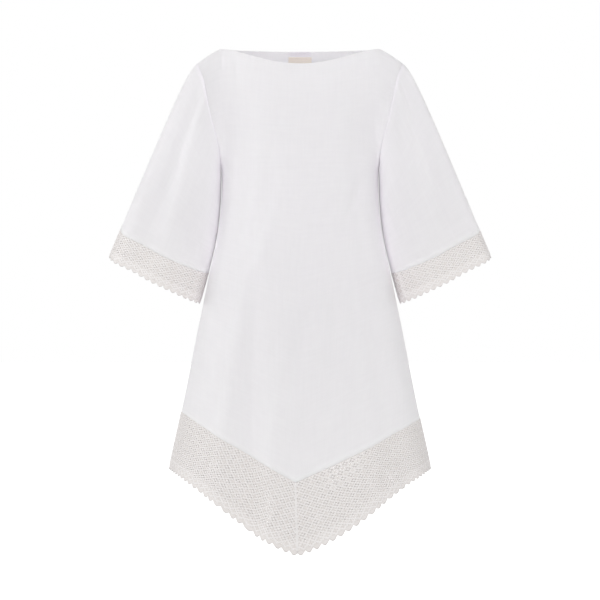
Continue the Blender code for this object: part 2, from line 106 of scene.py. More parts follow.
SIDE_HEM_Z = {RIGHT: -0.7780, LEFT: -0.7930}
HEM_POINT_Z = -0.9270
SCALLOP_DEPTH = 0.0056
SCALLOP_ROOT_RISE = 0.0036
HEM_SCALLOPS = 25
CUFF_SCALLOPS = 34

CUFF_DEPTH = 0.0520
CUFF_HEM_DEPTH = 0.0580
CUFF_DIP = 0.0120
CUFF_HEM_DIP = 0.0075
SLEEVE_TOP_GAP = 0.00015
SLEEVE_UNDERARM_GAP = 0.00206
SLEEVE_GAP_POWER = 3.5
SLEEVE_START_DROP = 0.55
SLEEVE_FULLNESS = 1.16
SLEEVE_SPACING = 1.2
FINE_STEPS = 400

Section = namedtuple("Section", "z half_width front back")
SECTIONS = table(Section, (
    (-1.090, 0.3180, 0.170, 0.176),
    (-0.894, 0.2795, 0.158, 0.162),
    (-0.755, 0.2494, 0.148, 0.148),
    (-0.604, 0.2193, 0.137, 0.129),
    (-0.486, 0.1946, 0.131, 0.114),
    (-0.411, 0.1785, 0.129, 0.106),
    (-0.350, 0.1700, 0.128, 0.104),
    (-0.300, 0.1680, 0.127, 0.105),
    (-0.262, 0.1690, 0.124, 0.107),
    (-0.215, 0.1732, 0.118, 0.110),
    (-0.140, 0.1924, 0.103, 0.107),
    (-0.062, 0.2085, 0.077, 0.090),
    (-0.030, 0.2193, 0.063, 0.076),
    (0.010, 0.2193, 0.048, 0.060),
))

Edge = namedtuple("Edge", "share z")
HEM_EDGE = table(Edge, (
    (0.00, -1.0815),
    (0.12, -1.0670),
    (0.36, -1.0258),
    (0.66, -0.9597),
    (1.00, -0.8987),
))

Lean = namedtuple("Lean", "z shift")
CENTRE_LEAN = table(Lean, (
    (-1.090, -0.0050),
    (-0.927, -0.0095),
    (-0.500, 0.0),
    (0.010, 0.0),
))

FOLD_TOP_WIDTH = 0.55
FOLD_SPREAD = 0.45
FOLD_SIDE_POWER = 6
FOLD_EDGE_POWER = 8

# Long soft folds that widen as they fall, as ridges, or troughs where height is negative.
Fold = namedtuple("Fold", "x_top z_top x_low z_low width height")
FOLDS = {
    FRONT: table(Fold, (
        (-0.120, -0.420, -0.192, -0.930, 0.034, 0.012),
        (-0.090, -0.330, -0.112, -0.930, 0.030, -0.013),
        (-0.020, -0.480, -0.055, -0.900, 0.026, 0.006),
        (0.020, -0.520, 0.018, -0.900, 0.030, -0.005),
        (0.110, -0.380, 0.165, -0.930, 0.036, 0.010),
        (0.130, -0.480, 0.228, -0.920, 0.024, -0.009),
        (-0.100, -0.100, -0.125, -0.300, 0.022, -0.005),
        (0.110, -0.110, 0.128, -0.320, 0.022, -0.006),
    )),
    BACK: table(Fold, (
        (-0.130, -0.400, -0.205, -0.930, 0.034, 0.010),
        (-0.085, -0.340, -0.128, -0.930, 0.032, -0.012),
        (-0.020, -0.380, -0.040, -0.930, 0.034, 0.009),
        (0.050, -0.350, 0.052, -0.930, 0.030, -0.010),
        (0.115, -0.410, 0.148, -0.930, 0.034, 0.011),
        (0.140, -0.460, 0.226, -0.930, 0.026, -0.008),
    )),
}

OUTER_CUFF = Vector((0.3853, 0.0, -0.3870))
INNER_CUFF = Vector((0.1972, 0.0, -0.4795))
OUTER_HEM = Vector((0.4096, 0.0, -0.4450))
INNER_HEM = Vector((0.2150, 0.0, -0.5440))

Run = namedtuple("Run", "start_turn start_pull end_turn end_pull")
OVER_SHOULDER = Run(start_turn=32.0, start_pull=0.024, end_turn=67.3, end_pull=0.300)
UNDER_ARM = Run(start_turn=92.0, start_pull=0.070, end_turn=74.0, end_pull=0.090)

CREASE_START = 0.12
CREASE_LEVEL = 0.30

# Folds down a sleeve. Each pair is a value at the armhole and one at the cuff, with turns in degrees from
# the shoulder round the front.
Crease = namedtuple("Crease", "turn width height")
CREASES = {
    RIGHT: table(Crease, (
        ((48, 66), (13, 17), (-0.006, -0.005)),
        ((24, 38), (12, 16), (0.003, 0.006)),
        ((80, 104), (20, 20), (0.002, 0.005)),
        ((230, 252), (16, 20), (-0.003, -0.007)),
        ((290, 300), (16, 20), (0.002, 0.006)),
    )),
    LEFT: table(Crease, (
        ((40, 70), (13, 20), (-0.005, -0.006)),
        ((18, 34), (12, 16), (0.002, 0.005)),
        ((76, 110), (20, 18), (0.002, 0.004)),
        ((236, 262), (16, 20), (-0.003, -0.006)),
        ((286, 310), (16, 20), (0.002, 0.006)),
    )),
}

# Finer creases of the linen, from one end to the other. Each swells from nothing and dies away again, as a
# ridge, or a trough where height is negative.
CREASE_SWELL = 0.8
Drag = namedtuple("Drag", "x_from z_from x_to z_to width height")
DRAGS = {
    FRONT: table(Drag, (
        (-0.078, -0.315, -0.130, -0.490, 0.011, -0.0034),
        (-0.050, -0.320, -0.100, -0.500, 0.013, 0.0026),
        (-0.048, -0.170, -0.084, -0.390, 0.015, -0.0026),
        (0.150, -0.250, 0.082, -0.400, 0.012, -0.0028),
        (0.128, -0.250, 0.066, -0.380, 0.013, 0.0018),
        (0.090, -0.060, 0.086, -0.400, 0.024, 0.0022),
        (-0.160, -0.310, -0.088, -0.336, 0.006, 0.0012),
        (-0.150, -0.342, -0.110, -0.352, 0.005, -0.0010),
        (0.010, -0.560, -0.012, -0.790, 0.015, -0.0032),
        (0.200, -0.660, 0.222, -0.800, 0.012, 0.0030),
        (-0.170, -0.610, -0.190, -0.790, 0.012, 0.0030),
        (0.070, -0.500, 0.085, -0.760, 0.018, -0.0022),
        (-0.1890, -0.006, -0.1865, -0.040, 0.0042, -0.0016),
        (-0.1700, -0.006, -0.1680, -0.052, 0.0045, -0.0018),
        (-0.1500, -0.012, -0.1510, -0.046, 0.0040, 0.0012),
        (-0.1360, -0.014, -0.1380, -0.062, 0.0050, -0.0016),
        (-0.1060, -0.022, -0.1070, -0.056, 0.0045, -0.0012),
        (-0.2020, -0.030, -0.1960, -0.120, 0.0070, -0.0022),
        (0.1720, -0.008, 0.1705, -0.044, 0.0045, -0.0014),
        (0.1480, -0.014, 0.1475, -0.050, 0.0050, -0.0010),
        (0.1960, -0.026, 0.1930, -0.100, 0.0070, -0.0018),
    )),
    BACK: table(Drag, (
        (-0.020, -0.060, -0.060, -0.300, 0.022, 0.0024),
        (0.060, -0.110, 0.030, -0.330, 0.018, -0.0028),
        (-0.140, -0.260, -0.070, -0.370, 0.013, -0.0030),
        (0.148, -0.240, 0.092, -0.380, 0.012, 0.0026),
        (0.020, -0.420, 0.006, -0.640, 0.014, -0.0026),
        (0.190, -0.600, 0.214, -0.790, 0.013, 0.0030),
        (-0.180, -0.560, -0.206, -0.780, 0.012, -0.0026),
        (-0.1640, -0.004, -0.1620, -0.044, 0.0048, -0.0016),
        (-0.1250, -0.004, -0.1270, -0.038, 0.0050, -0.0012),
        (0.1580, -0.004, 0.1600, -0.048, 0.0045, -0.0016),
        (0.1130, -0.005, 0.1120, -0.036, 0.0055, -0.0010),
    )),
}

# The same on a sleeve, by the degrees round it and the part of the way down it.
SleeveDrag = namedtuple("SleeveDrag", "turn_from down_from turn_to down_to width height")
SLEEVE_DRAGS = {
    RIGHT: table(SleeveDrag, (
        (60, 0.02, 72, 0.75, 7, -0.0048),
        (44, 0.06, 56, 0.90, 8, 0.0030),
        (84, 0.62, 92, 1.00, 8, 0.0020),
        (112, 0.66, 122, 1.00, 8, -0.0020),
        (232, 0.05, 246, 0.60, 10, 0.0020),
        (262, 0.45, 276, 0.95, 9, -0.0024),
        (318, 0.20, 326, 0.75, 8, 0.0018),
    )),
    LEFT: table(SleeveDrag, (
        (44, 0.02, 52, 0.30, 6, -0.0030),
        (66, 0.10, 58, 0.70, 11, -0.0034),
        (96, 0.55, 104, 1.00, 9, 0.0018),
        (122, 0.30, 128, 0.85, 8, -0.0016),
        (240, 0.10, 228, 0.65, 9, -0.0022),
        (286, 0.30, 292, 0.90, 10, 0.0022),
        (330, 0.05, 322, 0.50, 8, -0.0016),
    )),
}

# How finely the linen is divided, with closer lines at its seams

NECK_COLUMNS = 38
SHOULDER_COLUMNS = 12
SEAM_SHARES = (0.9915, 0.9960, 0.9985)
SKIRT_ROWS = 96
YOKE_ROWS = 66
HEM_ROWS = (0.0, 0.0022, 0.0068, 0.0114, 0.0136, 0.0165)
SLEEVE_COLUMNS = 108
SLEEVE_ROWS = 84
CUFF_END_ROWS = (0.9760, 0.9800, 0.9860, 0.9960)

SEAM_DIP = 0.0003
SEAM_DIP_SHARE = 0.0060
SEAM_HALF_GAP = 0.0001
TURNING_WIDTH = 0.0085
TURNING_LIFT = 0.0006
TURNING_STEP = 0.0012

# The sleeve's first rows, where its cloth lies so close to the body's that no light soaks through them

JOIN_ROWS = 3
JOIN_FADE_ROWS = 2

# The crochet

CELL_PROPORTION = 1.48
HEM_BAND_DEPTH = 0.1180
HEM_SPOT_ROWS = 9.5
CUFF_BAND_DEPTH = 0.0620
CUFF_SPOT_ROWS = 5
CUFF_CELLS = 29
CUFF_SEAM_TURN = {RIGHT: 196.0, LEFT: 151.0}
EDGING_TOP = 0.0070
EDGING_OVERLAP = 0.0012
SLOPE_SPAN = 8
PLACE_STEPS = 4
SAME_THREAD = 1e-5
KNOT_SEGMENTS = 8
KNOT_RINGS = 5
SPOT_OVERHANG = 1 / 3
SCALLOP_POINT = 1.15
SEAM_BRAID_WIDTH = 0.0024
SEAM_BRAID_ROWS = 40
# How far the seam braids stand out, which also paints them lighter.
SEAM_BRAID_LIFT = 0.9
BACK_THREAD = 1.15
OPEN = 1.0
CLOSER = 1.40
CLOSEST = 1.62
CLOSEST_DEPTH = 0.0200
BRAID_COLUMNS = 2
EDGING_COLUMNS = 6
EDGING_ROWS = 3
# How far the edging stands out, which also paints it in shade, darker than the main threads.
EDGING_RAISED = 0.3
TUCK_UP = 0.0008
TUCK_IN = 0.0010
TUCK_RUN = 0.0008

# The smallest hole that is left open, and the shortest edge that is kept, as shares of a thread's width
SMALLEST_HOLE = 0.27
SLIVER = 0.125

LABEL_WIDTH = 0.0500
LABEL_TOP_Z = -0.0145
LABEL_DEPTH = 0.0190
LABEL_THICKNESS = 0.0006
LABEL_GAP = 0.0008
LABEL_COLUMNS = 24
LABEL_ROWS = 10

# The finishes. A stretch is how often uneven yarn repeats in a metre, each way. Tones give the range that is
# read and the range that it is carried to.

SHEEN_ROUGHNESS = 0.6
SPECULAR_LEVEL = 0.25
UNEVEN_ROUGHNESS = 0.6
WAVE_SCALE = math.pi / 10
WAVE_WANDER = 0.4

LINEN_SHEEN = 0.15
LINEN_BUMP = 0.35
LIGHT_SPREAD = 0.0040
WARP_STRETCH = (460.0, 9.0, 1.0)
WEFT_STRETCH = (9.0, 460.0, 1.0)
WARP_SLUB_STRETCH = (170.0, 16.0, 1.0)
WEFT_SLUB_STRETCH = (16.0, 190.0, 1.0)
YARN_TONES = (0.6, 1.4, 0.0, 0.5)
SLUB_TONES = (0.7, 1.3, 0.0, 0.5)
WEAVE_RELIEF = 0.25

CROCHET_SHEEN = 0.1
CROCHET_BUMP = 0.7
LOOP_STRETCH = (620.0, 620.0, 620.0)
PATCH_STRETCH = (38.0, 38.0, 38.0)
LOOP_TONE = 0.35
RAISED_PAINTED_LIGHT = 0.6
THREAD_TONES = (0.2, 0.9, 0.0, 1.0)

LABEL_ROUGHNESS = 0.62
LABEL_SHEEN = 0.1
LABEL_BUMP = 0.4
LABEL_RELIEF = 0.0002
RIB_PITCH = 0.0006
TAPE_STRETCH = (60.0, 1400.0, 1.0)
TAPE_TONES = (0.3, 0.7, 0.0, 1.0)

# The studio

CAMERA_DISTANCE = 13.0
CAMERA_REACH = 100.0
PHOTO_CENTRE_Z = -0.5386
PHOTO_WIDTH = 1.2900
SENSOR = 36.0
FLOOR_Z = -1.3000
FLOOR_SIZE = 60.0
FLOOR_WHITE = 0.9
FLOOR_ROUGHNESS = 0.9
FLOOR_GLOW = 0.8
DRESS_MIDDLE = Vector((0.0, 0.0, -0.5))

# Each light takes a share of one power setting. The large ones are round and face the middle of the dress.
# The small ones are oblong, lie inside the dress and face the way given. Those of SIDE_LAMPS are for the
# wearer's left, and are mirrored for the right.
Lamp = namedtuple("Lamp", "name setting share place size facing")
LARGE_LAMPS = (
    Lamp("key", "key", 1.0, (-2.10, -4.40, 0.80), 2.6, None),
    Lamp("fill", "fill", 1.0, (1.90, -4.60, 0.70), 2.6, None),
    Lamp("right", "right", 1.0, (-4.70, 0.40, 0.90), 2.6, None),
    Lamp("left", "left", 1.0, (4.70, 0.40, 0.90), 2.6, None),
    Lamp("back", "back", 1.0, (0.0, 4.40, 1.60), 3.4, None),
)
SIDE_LAMPS = (
    Lamp("inside_body", "underarm", 1.0, (0.158, 0.0, -0.34), (0.012, 0.26), (1, 0, 0)),
    Lamp("inside_sleeve", "underarm", 0.24, (0.207, 0.0, -0.34), (0.012, 0.22), (-1, 0, 0)),
    Lamp("inside_cuff", "cuff", 1.0, (0.330, 0.0, -0.475), (0.11, 0.05), (0, 1, 0)),
)
MIDDLE_LAMPS = (
    Lamp("inside_hem", "hem", 1.0, (0.0, 0.0, -0.96), (0.36, 0.16), (0, 1, 0)),
    Lamp("inside_neck", "neck", 1.0, (0.0, -0.02, -0.004), (0.18, 0.012), (0, 1, -0.25)),
)


def mix(a, b, share):
    return a + (b - a) * share


def clamp(value):
    return min(max(value, 0.0), 1.0)


def ease(value):
    value = clamp(value)
    return value * value * (3 - 2 * value)


def curve(rows, column):
    """A smooth curve through one column of a table, read by the value in the table's first column."""
    keys = [row[0] for row in rows]
    values = [getattr(row, column) for row in rows]
    last = len(keys) - 2
    slopes = [(values[k + 1] - values[k]) / (keys[k + 1] - keys[k]) for k in range(last + 1)]
    ahead = [(a + b) / 2 for a, b in zip(slopes, slopes[1:])] + slopes[-1:]
    behind = slopes[:1] + ahead[:-1]

    def at(value):
        i = min(max(bisect_right(keys, value) - 1, 0), last)
        width = keys[i + 1] - keys[i]
        t = (value - keys[i]) / width
        if t < 0 or t > 1:
            return values[i] + (value - keys[i]) * slopes[i]
        t2, t3 = t * t, t * t * t
        return (
            values[i] * (2 * t3 - 3 * t2 + 1)
            + width * behind[i] * (t3 - 2 * t2 + t)
            + values[i + 1] * (3 * t2 - 2 * t3)
            + width * ahead[i] * (t3 - t2)
        )

    return at


def read(keys, values, key):
    """The value that belongs to a key, on straight lines between rising keys."""
    i = min(max(bisect_right(keys, key) - 1, 0), len(keys) - 2)
    return mix(values[i], values[i + 1], clamp((key - keys[i]) / (keys[i + 1] - keys[i])))


def lengths_along(points):
    """How far a line through points has run at each of them."""
    lengths = [0.0]
    for a, b in zip(points, points[1:]):
        lengths.append(lengths[-1] + (b - a).length)
    return lengths


# The body

half_width = curve(SECTIONS, "half_width")
depth_of = {FRONT: curve(SECTIONS, "front"), BACK: curve(SECTIONS, "back")}
centre_lean = curve(CENTRE_LEAN, "shift")
hem_edge = curve(HEM_EDGE, "z")


def across(share):
    turn = share * math.pi / 2
    return math.copysign(abs(math.sin(turn)) ** (2 / SECTION_POWER), share)


def share_at(part):
    return math.asin(part ** (SECTION_POWER / 2)) / (math.pi / 2)


def armhole_reach(z, top=-SHOULDER_DROP):
    middle = (UNDERARM_Z + top) / 2
    part = abs((z - middle) / (top - middle))
    return 0.0 if part >= 1 else ARMHOLE_REACH * (1 - part**ARMHOLE_POWER) ** (1 / ARMHOLE_POWER)


def shoulder_top(x):
    if abs(x) < NECK_HALF:
        return NECK_RISE * (1 - (x / NECK_HALF) ** 2)
    return -SHOULDER_DROP * ((abs(x) - NECK_HALF) / (SHOULDER_HALF - NECK_HALF)) ** SHOULDER_BOW


def fold_height(panel, x, z, part):
    height = 0.0
    for fold in FOLDS[panel]:
        if z > fold.z_top:
            continue
        down = (fold.z_top - z) / (fold.z_top - fold.z_low)
        centre = mix(fold.x_top, fold.x_low, down)
        width = fold.width * mix(FOLD_TOP_WIDTH, 1.0, clamp(down))
        height += fold.height * ease(down) * math.exp(-(((x - centre) / width) ** 2))
    return height * (1 - part**FOLD_SIDE_POWER)


def body_point(panel, share, z, lift=0.0):
    """The middle of the cloth on the front or back, at a share across and a height, moved out by lift."""
    half = half_width(z)
    depth = depth_of[panel](z)
    place = across(share)
    part = abs(place)
    x = half * place
    top = shoulder_top(min(SHOULDER_HALF * part, SHOULDER_HALF))
    reach = armhole_reach(z, top)
    low_shape = (1 - min(part, 1.0) ** SECTION_POWER) ** (1 / SECTION_POWER)
    yoke_shape = 1 - part**YOKE_SECTION_POWER
    shape = mix(low_shape, yoke_shape, ease((z - UNDERARM_Z) / YOKE_BLEND))
    under_top = clamp((top - z) / SHOULDER_ROLL)
    roll = math.sqrt(1 - (1 - under_top) ** 2)
    out = (depth * shape * roll) ** ARMHOLE_BLEND + (reach * part * part) ** ARMHOLE_BLEND
    out = out ** (1 / ARMHOLE_BLEND)
    fold = fold_height(panel, x, z, part) + lift
    if panel == FRONT:
        x += centre_lean(z) * (1 - part) ** 2
    x += FOLD_SPREAD * place * fold
    return Vector((x, panel * (out + fold * (1 - part**FOLD_EDGE_POWER)), z))


def swell(t):
    """How far a crease has risen, a part t of the way along it."""
    return math.sin(math.pi * t) ** CREASE_SWELL


def drag_height(panel, x, z):
    """How far the finer creases lift the linen here."""
    height = 0.0
    for drag in DRAGS[panel]:
        run = Vector((drag.x_to - drag.x_from, drag.z_to - drag.z_from))
        from_start = Vector((x - drag.x_from, z - drag.z_from))
        t = from_start.dot(run) / run.length_squared
        if 0 < t < 1:
            away = (from_start - run * t).length / drag.width
            height += drag.height * swell(t) * math.exp(-away * away)
    return height


def hem_seam_z(share):
    side = LEFT if share > 0 else RIGHT
    return mix(HEM_POINT_Z, SIDE_HEM_Z[side], abs(across(share)))


def hem_edge_z(share):
    return hem_edge(abs(across(share)))


def neckline_z(panel, share):
    x = SHOULDER_HALF * abs(across(share))
    if x >= NECK_HALF - SAME_POINT:
        return shoulder_top(x)
    if panel == BACK:
        return -BACK_NECK_DROP * (1 - (x / NECK_HALF) ** 2)
    inside = clamp(1 - (x / NECK_CURVE_HALF) ** 2)
    return -FRONT_NECK_DROP * inside**NECK_CURVE_POWER


def linen_point(panel, share, z):
    """The linen with its finer creases, its seams drawn in and its hem turning a little proud."""
    x = half_width(z) * across(share)
    lift = drag_height(panel, x, z)
    lift += TURNING_LIFT * ease(1 - (z - hem_seam_z(share) - TURNING_WIDTH) / TURNING_STEP)
    point = body_point(panel, share, z, lift)
    dip = SEAM_DIP * ease(1 - (1 - abs(share)) / SEAM_DIP_SHARE)
    point.x -= math.copysign(dip, share)
    point.y += panel * SEAM_HALF_GAP
    return point


def panel_shares():
    neck = share_at(NECK_HALF / SHOULDER_HALF)
    half = [neck * k / NECK_COLUMNS for k in range(NECK_COLUMNS)]
    half += [mix(neck, SEAM_SHARES[0], k / SHOULDER_COLUMNS) for k in range(SHOULDER_COLUMNS)]
    half += [*SEAM_SHARES, 1.0]
    return [-share for share in reversed(half[1:])] + half


def linen_rows(panel):
    """The front or back from the hem seam up to the neckline and shoulder seams."""
    shares = panel_shares()
    low = list(HEM_ROWS) + [mix(HEM_ROWS[-1], 1.0, k / SKIRT_ROWS) for k in range(1, SKIRT_ROWS + 1)]
    high = [(1 - math.cos(math.pi * k / YOKE_ROWS)) / 2 for k in range(1, YOKE_ROWS + 1)]
    rows = []
    for part in low:
        rows.append([linen_point(panel, s, mix(hem_seam_z(s), UNDERARM_Z, part)) for s in shares])
    for part in high:
        rows.append([linen_point(panel, s, mix(UNDERARM_Z, neckline_z(panel, s), part)) for s in shares])
    return [row[::-1] for row in rows] if panel == BACK else rows


# The sleeves


def armhole_point(side, turn):
    z = mix(UNDERARM_Z, -SHOULDER_DROP, (1 + math.cos(turn)) / 2)
    panel = FRONT if math.sin(turn) >= 0 else BACK
    return Vector((side * half_width(z), panel * armhole_reach(z), z))


def sleeve_leave(side, turn):
    """The way the sleeve's cloth leaves the armhole, as long as the seam's gap."""
    under = (1 - math.cos(turn)) / 2
    away = Vector((side, 0.0, -SLEEVE_START_DROP * (1 - under))).normalized()
    return away * mix(SLEEVE_TOP_GAP, SLEEVE_UNDERARM_GAP, under**SLEEVE_GAP_POWER)


def oval_point(side, outer, inner, depth, dip, turn):
    centre, arm = (outer + inner) / 2, (outer - inner) / 2
    point = centre + arm * math.cos(turn) + (OUTER_HEM - OUTER_CUFF).normalized() * dip * math.sin(turn)
    return Vector((side * point.x, -depth * math.sin(turn), point.z))


def crease_height(side, turn, down):
    height = 0.0
    for crease in CREASES[side]:
        centre = math.radians(mix(*crease.turn, clamp(down)))
        width = math.radians(mix(*crease.width, clamp(down)))
        height += mix(*crease.height, clamp(down)) * math.exp(-(((turn - centre) / width) ** 2))
    return height * ease(down / CREASE_START)


def sleeve_drag_height(side, turn, down):
    height = 0.0
    degrees = math.degrees(turn)
    for drag in SLEEVE_DRAGS[side]:
        t = (down - drag.down_from) / (drag.down_to - drag.down_from)
        if 0 < t < 1:
            away = (degrees - mix(drag.turn_from, drag.turn_to, t)) / drag.width
            height += drag.height * swell(t) * math.exp(-away * away)
    return height


def moved_out(point, centre, height):
    out = point - centre
    out.z *= CREASE_LEVEL
    return point + out.normalized() * height


def bezier_point(start, first, second, end, t):
    near = (1 - t) ** 3 * start + 3 * t * (1 - t) ** 2 * first
    far = 3 * t * t * (1 - t) * second + t**3 * end
    return near + far


def sleeve_run(side, turn, parts):
    """Points down one line of the sleeve, from the armhole to the cuff seam."""
    under = (1 - math.cos(turn)) / 2
    start = armhole_point(side, turn) + sleeve_leave(side, turn)
    end = oval_point(side, OUTER_CUFF, INNER_CUFF, CUFF_DEPTH, CUFF_DIP, turn)
    start_turn = math.radians(mix(OVER_SHOULDER.start_turn, UNDER_ARM.start_turn, under))
    end_turn = math.radians(mix(OVER_SHOULDER.end_turn, UNDER_ARM.end_turn, under))
    leave = Vector((side * math.cos(start_turn), 0, -math.sin(start_turn)))
    arrive = Vector((side * math.cos(end_turn), 0, -math.sin(end_turn)))
    first = start + leave * mix(OVER_SHOULDER.start_pull, UNDER_ARM.start_pull, under)
    second = end - arrive * mix(OVER_SHOULDER.end_pull, UNDER_ARM.end_pull, under)
    first.y *= SLEEVE_FULLNESS
    second.y *= SLEEVE_FULLNESS
    fine = [k / FINE_STEPS for k in range(FINE_STEPS + 1)]
    lengths = lengths_along([bezier_point(start, first, second, end, t) for t in fine])
    shares = [read(lengths, fine, lengths[-1] * part**SLEEVE_SPACING) for part in parts]
    return [bezier_point(start, first, second, end, t) for t in shares]


def sleeve_rows(side):
    """The sleeve's rings, from the armhole to the cuff seam."""
    turns = [2 * math.pi * k / SLEEVE_COLUMNS for k in range(SLEEVE_COLUMNS)]
    parts = [mix(0.0, CUFF_END_ROWS[0], k / SLEEVE_ROWS) for k in range(SLEEVE_ROWS)]
    parts += [*CUFF_END_ROWS, 1.0]
    runs = [sleeve_run(side, turn, parts) for turn in turns]
    length = (OUTER_CUFF - armhole_point(LEFT, 0.0)).length
    rings = []
    for row, part in enumerate(parts):
        ring = [run[row] for run in runs]
        centre = sum(ring, Vector()) / len(ring)
        turning = TURNING_LIFT * ease(1 - ((1 - part) * length - TURNING_WIDTH) / TURNING_STEP)
        lifts = [crease_height(side, t, part) + sleeve_drag_height(side, t, part) + turning for t in turns]
        rings.append([moved_out(point, centre, lift) for point, lift in zip(ring, lifts)])
    return [ring + ring[:1] for ring in rings]


def cuff_point(side, turn, down):
    outer, inner = OUTER_CUFF.lerp(OUTER_HEM, down), INNER_CUFF.lerp(INNER_HEM, down)
    depth, dip = mix(CUFF_DEPTH, CUFF_HEM_DEPTH, down), mix(CUFF_DIP, CUFF_HEM_DIP, down)
    centre = (outer + inner) / 2
    centre = Vector((side * centre.x, 0.0, centre.z))
    point = oval_point(side, outer, inner, depth, dip, turn)
    return moved_out(point, centre, crease_height(side, turn % (2 * math.pi), 1.0))


# The crochet bands


class Band:
    """A flat strip of crochet, u metres along its seam and v metres down, carried onto the dress."""

    def __init__(self, depth, spot_rows, scallops, closeness=1.0):
        self.depth = depth
        self.spot_rows = spot_rows
        self.scallops = scallops
        self.closeness = closeness
        self.cell_across = (depth - EDGING_TOP) / spot_rows

    def place(self, u, v):
        """Where a point of the strip lies. What is above the seam is tucked in behind the linen."""
        point = self.surface_point(u, v)
        return point - self.outward(point) * TUCK_IN * ease(-v / TUCK_RUN)


class HemBand(Band):
    """A quarter of the hem's band, from the centre to a side seam, mitred at both ends."""

    def __init__(self, panel, side):
        closeness = 1.0 if panel == FRONT else BACK_THREAD
        super().__init__(HEM_BAND_DEPTH, HEM_SPOT_ROWS, HEM_SCALLOPS, closeness)
        self.panel = panel
        self.shares = [side * k / FINE_STEPS for k in range(FINE_STEPS + 1)]
        seam = [body_point(panel, share, hem_seam_z(share)) for share in self.shares]
        self.runs = lengths_along(seam)
        self.slopes = []
        for k in range(FINE_STEPS + 1):
            before, after = seam[max(k - SLOPE_SPAN, 0)], seam[min(k + SLOPE_SPAN, FINE_STEPS)]
            level = Vector((after.x - before.x, after.y - before.y)).length
            self.slopes.append((after.z - before.z) / level)
        self.cell_along = self.cell_across * CELL_PROPORTION

    def low(self, v):
        return -v * self.slopes[0]

    def high(self, v):
        return self.runs[-1] - v * self.slopes[-1]

    def surface_point(self, u, v):
        run = u
        for _ in range(PLACE_STEPS):
            run = u + v * read(self.runs, self.slopes, run)
        share = read(self.runs, self.shares, run)
        z = mix(hem_seam_z(share), hem_edge_z(share), v / self.depth)
        return body_point(self.panel, share, z)

    def outward(self, point):
        half = half_width(point.z)
        depth = depth_of[self.panel](point.z)
        return Vector((point.x / half**2, point.y / depth**2, 0.0)).normalized()


class CuffBand(Band):
    """The band round a cuff, joined at a seam near the underarm."""

    def __init__(self, side):
        super().__init__(CUFF_BAND_DEPTH, CUFF_SPOT_ROWS, CUFF_SCALLOPS)
        self.side = side
        self.start = math.radians(CUFF_SEAM_TURN[side])
        self.turns = [self.start + 2 * math.pi * k / FINE_STEPS for k in range(FINE_STEPS + 1)]
        self.runs = lengths_along([cuff_point(side, turn, 0.0) for turn in self.turns])
        self.cell_along = self.runs[-1] / CUFF_CELLS

    def low(self, v):
        return 0.0

    def high(self, v):
        return self.runs[-1]

    def surface_point(self, u, v):
        turn = read(self.runs, self.turns, u)
        return cuff_point(self.side, turn, v / self.depth)

    def outward(self, point):
        centre = (OUTER_CUFF + INNER_CUFF) / 2
        arm = (OUTER_CUFF - INNER_CUFF).length / 2
        x = point.x - self.side * centre.x
        return Vector((x / arm**2, point.y / CUFF_DEPTH**2, 0.0)).normalized()


# Materials


class NodeTree:
    """The nodes of a material or a world, with short ways to add to them."""

    def __init__(self, owner):
        owner.use_nodes = True
        self.nodes = owner.node_tree.nodes
        self.links = owner.node_tree.links

    def add(self, kind, **values):
        """A node with some of its sockets and settings filled in."""
        node = self.nodes.new("ShaderNode" + kind)
        for key, value in values.items():
            if key in node.inputs:
                node.inputs[key].default_value = value
            else:
                setattr(node, key.lower(), value)
        return node

    def attribute(self, name):
        return self.add("Attribute", attribute_name=name).outputs["Fac"]

    def uneven(self, coordinates, stretch, detail):
        """Noise drawn out by the stretch's three values, as yarn of uneven thickness is."""
        mapping = self.add("Mapping", Scale=stretch)
        noise = self.add("TexNoise", Scale=1.0, Detail=detail, Roughness=UNEVEN_ROUGHNESS)
        self.links.new(coordinates, mapping.inputs["Vector"])
        self.links.new(mapping.outputs["Vector"], noise.inputs["Vector"])
        return noise.outputs["Fac"]

    def ridges(self, coordinates, axis, pitch):
        """Ridges a yarn's pitch apart, across one direction of the cloth."""
        scale = WAVE_SCALE / pitch
        wave = self.add("TexWave", bands_direction=axis, Scale=scale, Distortion=WAVE_WANDER)
        self.links.new(coordinates, wave.inputs["Vector"])
        return wave.outputs["Fac"]

    def calc(self, operation, first, second):
        node = self.add("Math", operation=operation)
        for socket, value in zip(node.inputs, (first, second)):
            if isinstance(value, (int, float)):
                socket.default_value = value
            else:
                self.links.new(value, socket)
        return node.outputs[0]

    def spread(self, value, low, high, to_low, to_high):
        """Carries a value between low and high to one between to_low and to_high."""
        node = self.add("MapRange")
        self.links.new(value, node.inputs["Value"])
        ends = {"From Min": low, "From Max": high, "To Min": to_low, "To Max": to_high}
        for name, number in ends.items():
            node.inputs[name].default_value = number
        return node.outputs["Result"]

    def mix(self, factor, first, second):
        """A blend of two colours, each a socket or three values."""
        node = self.add("Mix", data_type="RGBA")
        self.links.new(factor, node.inputs["Factor"])
        for name, value in (("A", first), ("B", second)):
            socket = [s for s in node.inputs if s.name == name and s.type == "RGBA"][0]
            if isinstance(value, bpy.types.NodeSocket):
                self.links.new(value, socket)
            else:
                socket.default_value = (*value[:3], 1.0)
        return [s for s in node.outputs if s.type == "RGBA"][0]

    def cover(self, shader, colour, height, strength, distance):
        """Gives the shader its colour and its relief."""
        bump = self.add("Bump", Strength=strength, Distance=distance)
        self.links.new(height, bump.inputs["Height"])
        self.links.new(bump.outputs["Normal"], shader.inputs["Normal"])
        self.links.new(colour, shader.inputs["Base Color"])


def new_material(name, roughness, sheen):
    material = bpy.data.materials.new(name)
    tree = NodeTree(material)
    shader = tree.nodes["Principled BSDF"]
    shader.inputs["Roughness"].default_value = roughness
    shader.inputs["Sheen Weight"].default_value = sheen
    shader.inputs["Sheen Roughness"].default_value = SHEEN_ROUGHNESS
    shader.inputs["Specular IOR Level"].default_value = SPECULAR_LEVEL
    return material, tree, shader


